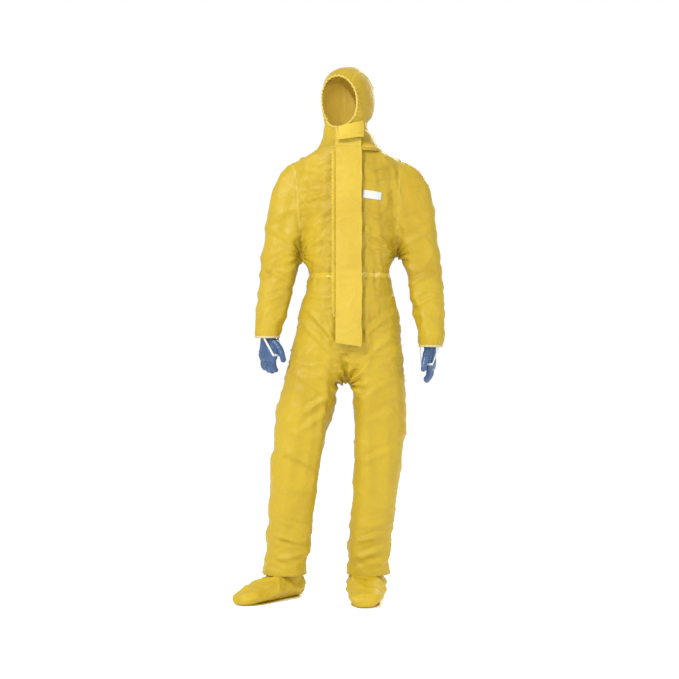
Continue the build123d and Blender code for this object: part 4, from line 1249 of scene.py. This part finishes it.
# ---------------------------------------------------------------- materials
class Finish:
    """A node material, built up from the place each point has on the plain form."""

    def __init__(self, name, rough=.5, metal=0.0, sheen=0.0, coat=0.0, spec=.5):
        self.mat = bpy.data.materials.new(name)
        self.mat.use_nodes = True
        self.tree = self.mat.node_tree
        self.shader = next(n for n in self.tree.nodes if n.type == "BSDF_PRINCIPLED")
        self.shader.inputs["Roughness"].default_value = rough
        self.shader.inputs["Metallic"].default_value = metal
        self.shader.inputs["Sheen Weight"].default_value = sheen
        self.shader.inputs["Coat Weight"].default_value = coat
        self.shader.inputs["Specular IOR Level"].default_value = spec

    def node(self, kind, **values):
        n = self.tree.nodes.new(kind)
        for key, value in values.items():
            if key in n.inputs:
                n.inputs[key].default_value = value
            else:
                setattr(n, key, value)
        return n

    def link(self, a, b):
        self.tree.links.new(a, b)

    def form(self, stretch=(1, 1, 1), cad=False):
        """Coordinates on the plain form, stretched along each axis."""
        if cad:
            source = self.node("ShaderNodeTexCoord").outputs["Object"]
        else:
            source = self.node("ShaderNodeAttribute", attribute_name="form").outputs["Vector"]
        m = self.node("ShaderNodeMapping")
        m.inputs["Scale"].default_value = stretch
        self.link(source, m.inputs["Vector"])
        return m.outputs["Vector"]

    def noise(self, at, scale, detail=3.0, rough=.5, distort=0.0):
        n = self.node("ShaderNodeTexNoise")
        n.inputs["Scale"].default_value = scale
        n.inputs["Detail"].default_value = detail
        n.inputs["Roughness"].default_value = rough
        n.inputs["Distortion"].default_value = distort
        self.link(at, n.inputs["Vector"])
        return n.outputs["Fac"]

    def cells(self, at, scale):
        n = self.node("ShaderNodeTexVoronoi")
        n.feature = "DISTANCE_TO_EDGE"
        n.inputs["Scale"].default_value = scale
        self.link(at, n.inputs["Vector"])
        return n.outputs["Distance"]

    def ramp(self, value, stops):
        r = self.node("ShaderNodeValToRGB")
        r.color_ramp.elements[0].position, r.color_ramp.elements[0].color = stops[0][0], (*stops[0][1], 1)
        r.color_ramp.elements[1].position, r.color_ramp.elements[1].color = stops[-1][0], (*stops[-1][1], 1)
        for position, colour in stops[1:-1]:
            e = r.color_ramp.elements.new(position)
            e.color = (*colour, 1)
        self.link(value, r.inputs["Fac"])
        return r.outputs["Color"]

    def spread(self, value, low, high, start=.3, end=.7):
        m = self.node("ShaderNodeMapRange")
        m.inputs["From Min"].default_value, m.inputs["From Max"].default_value = start, end
        m.inputs["To Min"].default_value, m.inputs["To Max"].default_value = low, high
        self.link(value, m.inputs["Value"])
        return m.outputs["Result"]

    def maths(self, op, a, b):
        m = self.node("ShaderNodeMath")
        m.operation = op
        for k, v in enumerate((a, b)):
            if isinstance(v, (int, float)):
                m.inputs[k].default_value = v
            else:
                self.link(v, m.inputs[k])
        return m.outputs["Value"]

    def mix(self, factor, a, b, blend="MIX"):
        m = self.node("ShaderNodeMix")
        m.data_type, m.blend_type = "RGBA", blend
        for socket, v in ((m.inputs[0], factor), (m.inputs[6], a), (m.inputs[7], b)):
            if isinstance(v, (int, float)):
                socket.default_value = v
            elif isinstance(v, tuple):
                socket.default_value = (*v, 1)
            else:
                self.link(v, socket)
        return m.outputs[2]

    def done(self, colour, height=None, depth=.001, strength=.5, rough=None):
        self.link(colour, self.shader.inputs["Base Color"])
        if rough is not None:
            self.link(rough, self.shader.inputs["Roughness"])
        if height is not None:
            b = self.node("ShaderNodeBump")
            b.inputs["Strength"].default_value = strength
            b.inputs["Distance"].default_value = depth
            self.link(height, b.inputs["Height"])
            self.link(b.outputs["Normal"], self.shader.inputs["Normal"])
        return self.mat


def shade(colour, factor):
    return tuple(min(c * factor, 1.0) for c in colour)


def coated(name, colour, rough=.52, crinkle=1.0, inside=None, warm=(1.0, .93, .72), spread=.13):
    """Film-coated nonwoven: broad tone changes, fibre flecks, fine crinkles that catch the light."""
    f = Finish(name, rough, spec=.28)
    at = f.form()
    broad = f.noise(at, 6.5, 5, .55, .3)
    fleck = f.noise(at, 950, 2, .6)
    fibre = f.noise(f.form((1, 1, .35)), 330, 3, .6)
    crush = f.noise(at, 38, 5, .62, 1.1)
    fine = f.noise(at, 120, 3, .5, .6)
    line = f.cells(f.form((1, 1, 1.25)), 21)
    warmer = tuple(c * w for c, w in zip(colour, warm))
    tone = f.ramp(broad, [(.30, shade(warmer, 1 - spread)), (.52, colour), (.74, shade(colour, 1 + spread * .7))])
    sep = f.node("ShaderNodeSeparateXYZ")
    f.link(at, sep.inputs["Vector"])
    tone = f.mix(f.spread(sep.outputs["Z"], .5, 0, .10, .85), tone, shade(colour, 1.12))
    tone = f.mix(f.spread(fleck, 0, .16, .42, .62), tone, shade(colour, 1.22))
    tone = f.mix(f.spread(fibre, 0, .20, .50, .68), tone, shade(warmer, .84))
    # back faces take the inside colour; for the hood this is a painted glow of light coming through the fabric
    if inside:
        tone = f.mix(f.node("ShaderNodeNewGeometry").outputs["Backfacing"], tone, inside)
    height = f.maths("MULTIPLY", crush, .9)
    height = f.maths("ADD", height, f.maths("MULTIPLY", fine, .34))
    height = f.maths("ADD", height, f.maths("MULTIPLY", f.maths("MINIMUM", line, .12), 1.6))
    height = f.maths("ADD", height, f.maths("MULTIPLY", fleck, .05))
    return f.done(tone, height, .0021 * crinkle, .66, f.spread(crush, rough - .09, rough + .13))


YELLOW = (.335, .230, .0085)
INSIDE = (.270, .180, .012)
finish = {
    "suit": coated("coated_fabric", YELLOW, inside=INSIDE),
    # the hood's inside colour is about twice its outside colour: painted light, standing in for light shining through
    # the thin fabric
    "hood": coated("hood_fabric", (.315, .217, .0085), .54, .9, inside=(.640, .470, .075)),
    "flap": coated("flap_fabric", (.385, .272, .024), .50, .75, inside=INSIDE, spread=.09),
    "sock": coated("sock_fabric", shade(YELLOW, 1.10), .52, 1.15),
}


def taped(name, colour, rough):
    """Bonded tape: smoother than the cloth, with a fine embossed grain."""
    f = Finish(name, rough, spec=.4, coat=.04)
    at = f.form()
    grain = f.noise(at, 260, 3, .5)
    broad = f.noise(at, 22, 4, .55, .5)
    tone = f.ramp(broad, [(.3, shade(colour, .88)), (.7, shade(colour, 1.08))])
    height = f.maths("ADD", f.maths("MULTIPLY", broad, .6), f.maths("MULTIPLY", grain, .12))
    return f.done(tone, height, .0010, .5, f.spread(broad, rough - .08, rough + .10))


def knitted(name, colour, pitch, rough=.7):
    """Woven or knitted elastic: fine ribs and flecks."""
    f = Finish(name, rough, sheen=.08)
    at = f.form()
    w = f.node("ShaderNodeTexWave")
    w.wave_type, w.bands_direction, w.wave_profile = "BANDS", "DIAGONAL", "SIN"
    w.inputs["Scale"].default_value = 1 / pitch / 6.283 * 2
    w.inputs["Distortion"].default_value, w.inputs["Detail"].default_value = 1.2, 1.0
    f.link(at, w.inputs["Vector"])
    fuzz = f.noise(at, 900, 3, .6)
    tone = f.mix(f.spread(w.outputs["Fac"], 0, .55, .1, .9), shade(colour, .80), colour)
    tone = f.mix(f.spread(fuzz, 0, .35, .4, .7), tone, shade(colour, 1.1))
    height = f.maths("ADD", w.outputs["Fac"], f.maths("MULTIPLY", fuzz, .3))
    return f.done(tone, height, .0004, .6)


def film(name, colour, rough):
    """Release film over an adhesive strip."""
    f = Finish(name, rough, coat=.3, spec=.5)
    at = f.form()
    ripple = f.noise(f.form((1, 1, .3)), 70, 3, .5)
    tone = f.ramp(f.noise(at, 30, 3), [(.3, shade(colour, .92)), (.7, colour)])
    return f.done(tone, ripple, .0004, .5, f.spread(ripple, rough - .05, rough + .1))


def nitrile(name, colour):
    """Thin dipped rubber: a fine grain, darker where it is thick, and a soft gloss."""
    f = Finish(name, .42, spec=.5, coat=.05)
    at = f.form()
    broad = f.noise(at, 34, 4, .55, .4)
    grain = f.noise(at, 1500, 2, .5)
    pull = f.noise(f.form((1, 1, 2.2)), 75, 4, .6, 1.2)
    tone = f.ramp(broad, [(.28, shade(colour, .62)), (.5, colour), (.76, shade(colour, 1.28))])
    height = f.maths("ADD", f.maths("MULTIPLY", pull, .8), f.maths("MULTIPLY", grain, .06))
    return f.done(tone, height, .0016, .6, f.spread(pull, .32, .52))


def moulded(name, colour, rough, metal=0.0):
    """Moulded or enamelled hardware, with a fine grain and slightly worn tone."""
    f = Finish(name, rough, metal, spec=.5, coat=.1)
    at = f.form(cad=True)
    grain = f.noise(at, 1400, 3, .5)
    broad = f.noise(at, 160, 3, .5)
    tone = f.ramp(broad, [(.3, shade(colour, .84)), (.7, shade(colour, 1.08))])
    return f.done(tone, grain, .0002, .35, f.spread(broad, rough - .06, rough + .1))


def card_stock(name):
    """A blank printed-paper label with a pale border."""
    f = Finish(name, .48, spec=.4)
    at = f.form()
    fibre = f.noise(at, 700, 3, .55)
    sep = f.node("ShaderNodeSeparateXYZ")
    f.link(at, sep.inputs["Vector"])
    x = f.maths("ABSOLUTE", sep.outputs["X"], 0.0)
    z = f.maths("ABSOLUTE", sep.outputs["Z"], 0.0)
    border = .0022
    edge = f.maths("MAXIMUM", f.maths("GREATER_THAN", x, half_w - border), f.maths("GREATER_THAN", z, half_h - border))
    tone = f.ramp(fibre, [(.3, (.42, .42, .40)), (.7, (.48, .48, .465))])
    tone = f.mix(f.maths("MULTIPLY", edge, .5), tone, (.36, .35, .28))
    return f.done(tone, fibre, .0002, .3)


finish["seam"] = taped("seam_tape", shade(YELLOW, 1.06), .52)
finish["stitching"] = taped("stitched_edge", shade(YELLOW, 1.12), .24)
finish["edging"] = knitted("edging_elastic", (.44, .37, .17), .0022)
finish["binding"] = knitted("face_elastic_knit", (.42, .31, .035), .0020)
finish["hem"] = taped("hem_edge", shade(YELLOW, .96), .45)
# the channel is lighter than the cloth: painted highlight standing in for the glints on its gathers
finish["channel"] = taped("waist_channel_fabric", shade(YELLOW, 1.16), .24)
finish["loop"] = knitted("white_elastic", (.56, .56, .55), .0014)
finish["zip_tape"] = knitted("zip_tape_weave", (.36, .25, .014), .0011, .75)
finish["adhesive"] = film("release_film", (.52, .49, .38), .30)
finish["glove"] = nitrile("blue_nitrile", (.019, .056, .138))
finish["plastic"] = moulded("moulded_zip", (.34, .24, .02), .38)
finish["slider"] = moulded("enamelled_slider", (.32, .23, .03), .30, .2)
finish["card"] = card_stock("label_card")


# ---------------------------------------------------------------- what each piece rides on and stands for
def dress(name, look, nodes=(), body=None):
    obj = made[name]
    obj.data.materials.clear()
    obj.data.materials.append(finish[look])
    if body:
        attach(obj, body)
    if nodes:
        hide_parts(*nodes)
    return obj


def across_joint(name, look, nodes, start, way):
    """A piece of the coverall with its finish and hidden CAD nodes, its place baked into its points; start and way are
    not used.
    """
    obj = dress(name, look, nodes)
    start, way = Vector(start), Vector(way)
    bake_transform(obj)
    return obj


dress("front_right", "suit", ["front_panel_right"], "torso")
dress("front_left", "suit", ["front_panel_left"], "torso")
dress("back", "suit", ["back_panel"], "torso")
dress("waist_channel", "channel", ["waist_elastic"], "torso")
dress("neck_seam", "seam", ["neck_seam_tape"], "torso")
seat_start = Vector((-.015, 0, .745))
for side, sign in SIDES.items():
    dress(f"armhole_seam_{side}", "seam", [f"armhole_seam_tape_{side}"], "torso")
    dress(f"side_seam_{side}", "seam", [f"side_seam_tape_{side}"], "torso")
    seat = ["seat_and_crotch"] if sign < 0 else []
    start, way = SLEEVE_START[side], SLEEVE_WAY[side]
    across_joint(f"sleeve_{side}", "suit", [f"sleeve_head_{side}", f"sleeve_upper_{side}"],
                 start, way)
    across_joint(f"forearm_{side}", "suit", [f"sleeve_elbow_{side}", f"sleeve_forearm_{side}"],
                 start, way)
    across_joint(f"trousers_{side}", "suit", [f"leg_thigh_{side}"] + seat,
                 seat_start, (sign * .5, 0, -.87))
    across_joint(f"leg_{side}", "suit", [f"leg_knee_{side}", f"leg_shin_{side}", f"boot_flap_{side}"],
                 (0, 0, .565), (0, 0, -1))
    dress(f"cuff_{side}", "edging", [f"cuff_elastic_{side}"], f"forearm_{side}")
    dress(f"hem_{side}", "hem", [], f"shin_{side}")
    dress(f"nitrile_glove_{side}", "glove", [f"glove_{side}"], f"forearm_{side}")
    dress(f"thumb_elastic_{side}", "loop", [f"thumb_loop_{side}"], f"forearm_{side}")
    across_joint(f"sock_{side}", "sock", [f"sock_foot_{side}", f"sock_ankle_{side}"],
                 (0, 0, .165), (0, 0, -1))
    dress(f"sock_sole_{side}", "sock", [f"sole_{side}"], f"foot_{side}")
for name, look, nodes in (("hood_seam_right", "seam", []), ("hood_seam_left", "seam", []),
                          ("hood", "hood", HOOD_SHELL + ["hood_neck", "collar"])):
    across_joint(name, look, nodes, (0, 0, 1.560), (0, 0, 1))
dress("face_binding", "binding", ["face_elastic"], "hood")
dress("storm_flap_sheet", "flap", ["storm_flap"], "storm_flap_body")
dress("flap_strip", "adhesive", ["storm_flap_adhesive"], "storm_flap_body")
dress("storm_flap_stitching", "stitching", ["storm_flap_seam"], "torso")
dress("chin_flap_sheet", "flap", ["chin_flap"], "chin_flap_body")
dress("chin_strip", "adhesive", ["chin_flap_adhesive"], "chin_flap_body")
dress("landing_strip", "seam", ["flap_adhesive_landing"], "torso")
dress("zip_backing", "suit", ["zip_guard"], "torso")
for side in SIDES:
    dress(f"zip_tape_{side}", "zip_tape", [f"zipper_tape_{side}"], "torso")
dress("label", "card", ["chest_label"], "torso")
ZIP_LOOKS = {"zipper_chain": "plastic", "zipper_stops": "plastic", "zipper_slider": "slider", "zipper_pull": "slider"}
for node, look in ZIP_LOOKS.items():
    obj = frame["nodes"][node]
    if not obj.data.materials:
        obj.data.materials.append(finish[look])
    for k in range(len(obj.material_slots)):
        obj.material_slots[k].material = finish[look]


for side in SIDES:
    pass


# ---------------------------------------------------------------- camera, floor, light
cam = bpy.data.cameras.new("camera")
camera = bpy.data.objects.new("camera", cam)
scene.collection.objects.link(camera)
scene.camera = camera
cam.lens, cam.sensor_width = 79.4, 36.0
cam.clip_start, cam.clip_end = .05, 60
camera.location = (-.033, -5.2, .8935)
camera.rotation_euler = (math.pi / 2, 0, 0)

corners = [(-9, -7, -.0012), (9, -7, -.0012), (9, 9, -.0012), (-9, 9, -.0012)]
floor = new_mesh("floor", corners, [(0, 1, 2, 3)], smooth=False)
pale = Finish("pale_floor", .8, spec=.1)
pale.shader.inputs["Emission Color"].default_value = (1, 1, 1, 1)
pale.shader.inputs["Emission Strength"].default_value = .16
mottle = pale.noise(pale.form(cad=True), 3, 2)
floor.data.materials.append(pale.done(pale.ramp(mottle, [(.3, (.90, .90, .90)), (.7, (.93, .93, .93))])))

world = bpy.data.worlds.new("studio")
scene.world = world
world.use_nodes = True
world.node_tree.nodes["Background"].inputs["Color"].default_value = (1, 1, 1, 1)
world.node_tree.nodes["Background"].inputs["Strength"].default_value = 1.0
scene.view_settings.view_transform = "Standard"


def area(name, place, aim, size, power):
    lamp = bpy.data.lights.new(name, "AREA")
    lamp.shape, lamp.size, lamp.energy = "DISK", size, power
    obj = bpy.data.objects.new(name, lamp)
    scene.collection.objects.link(obj)
    obj.location = place
    obj.rotation_euler = (Vector(aim) - Vector(place)).to_track_quat("-Z", "Y").to_euler()


area("key", (-2.4, -3.2, 3.6), (0, 0, 1.0), 1.3, 225)
area("fill", (3.0, -2.6, 1.6), (0, 0, .9), 2.0, 50)
area("rim", (1.2, 2.6, 3.0), (0, 0, 1.2), 1.6, 80)
# a narrow lamp into the hood, which would otherwise be dark
snoot = bpy.data.lights.new("snoot", "SPOT")
snoot.energy, snoot.spot_size = 420, math.radians(2.6)
snoot.spot_blend, snoot.shadow_soft_size = .5, .05
lamp = bpy.data.objects.new("snoot", snoot)
scene.collection.objects.link(lamp)
lamp.location = (-.033, -4.6, 1.70)
lamp.rotation_euler = (math.pi / 2, 0, 0)
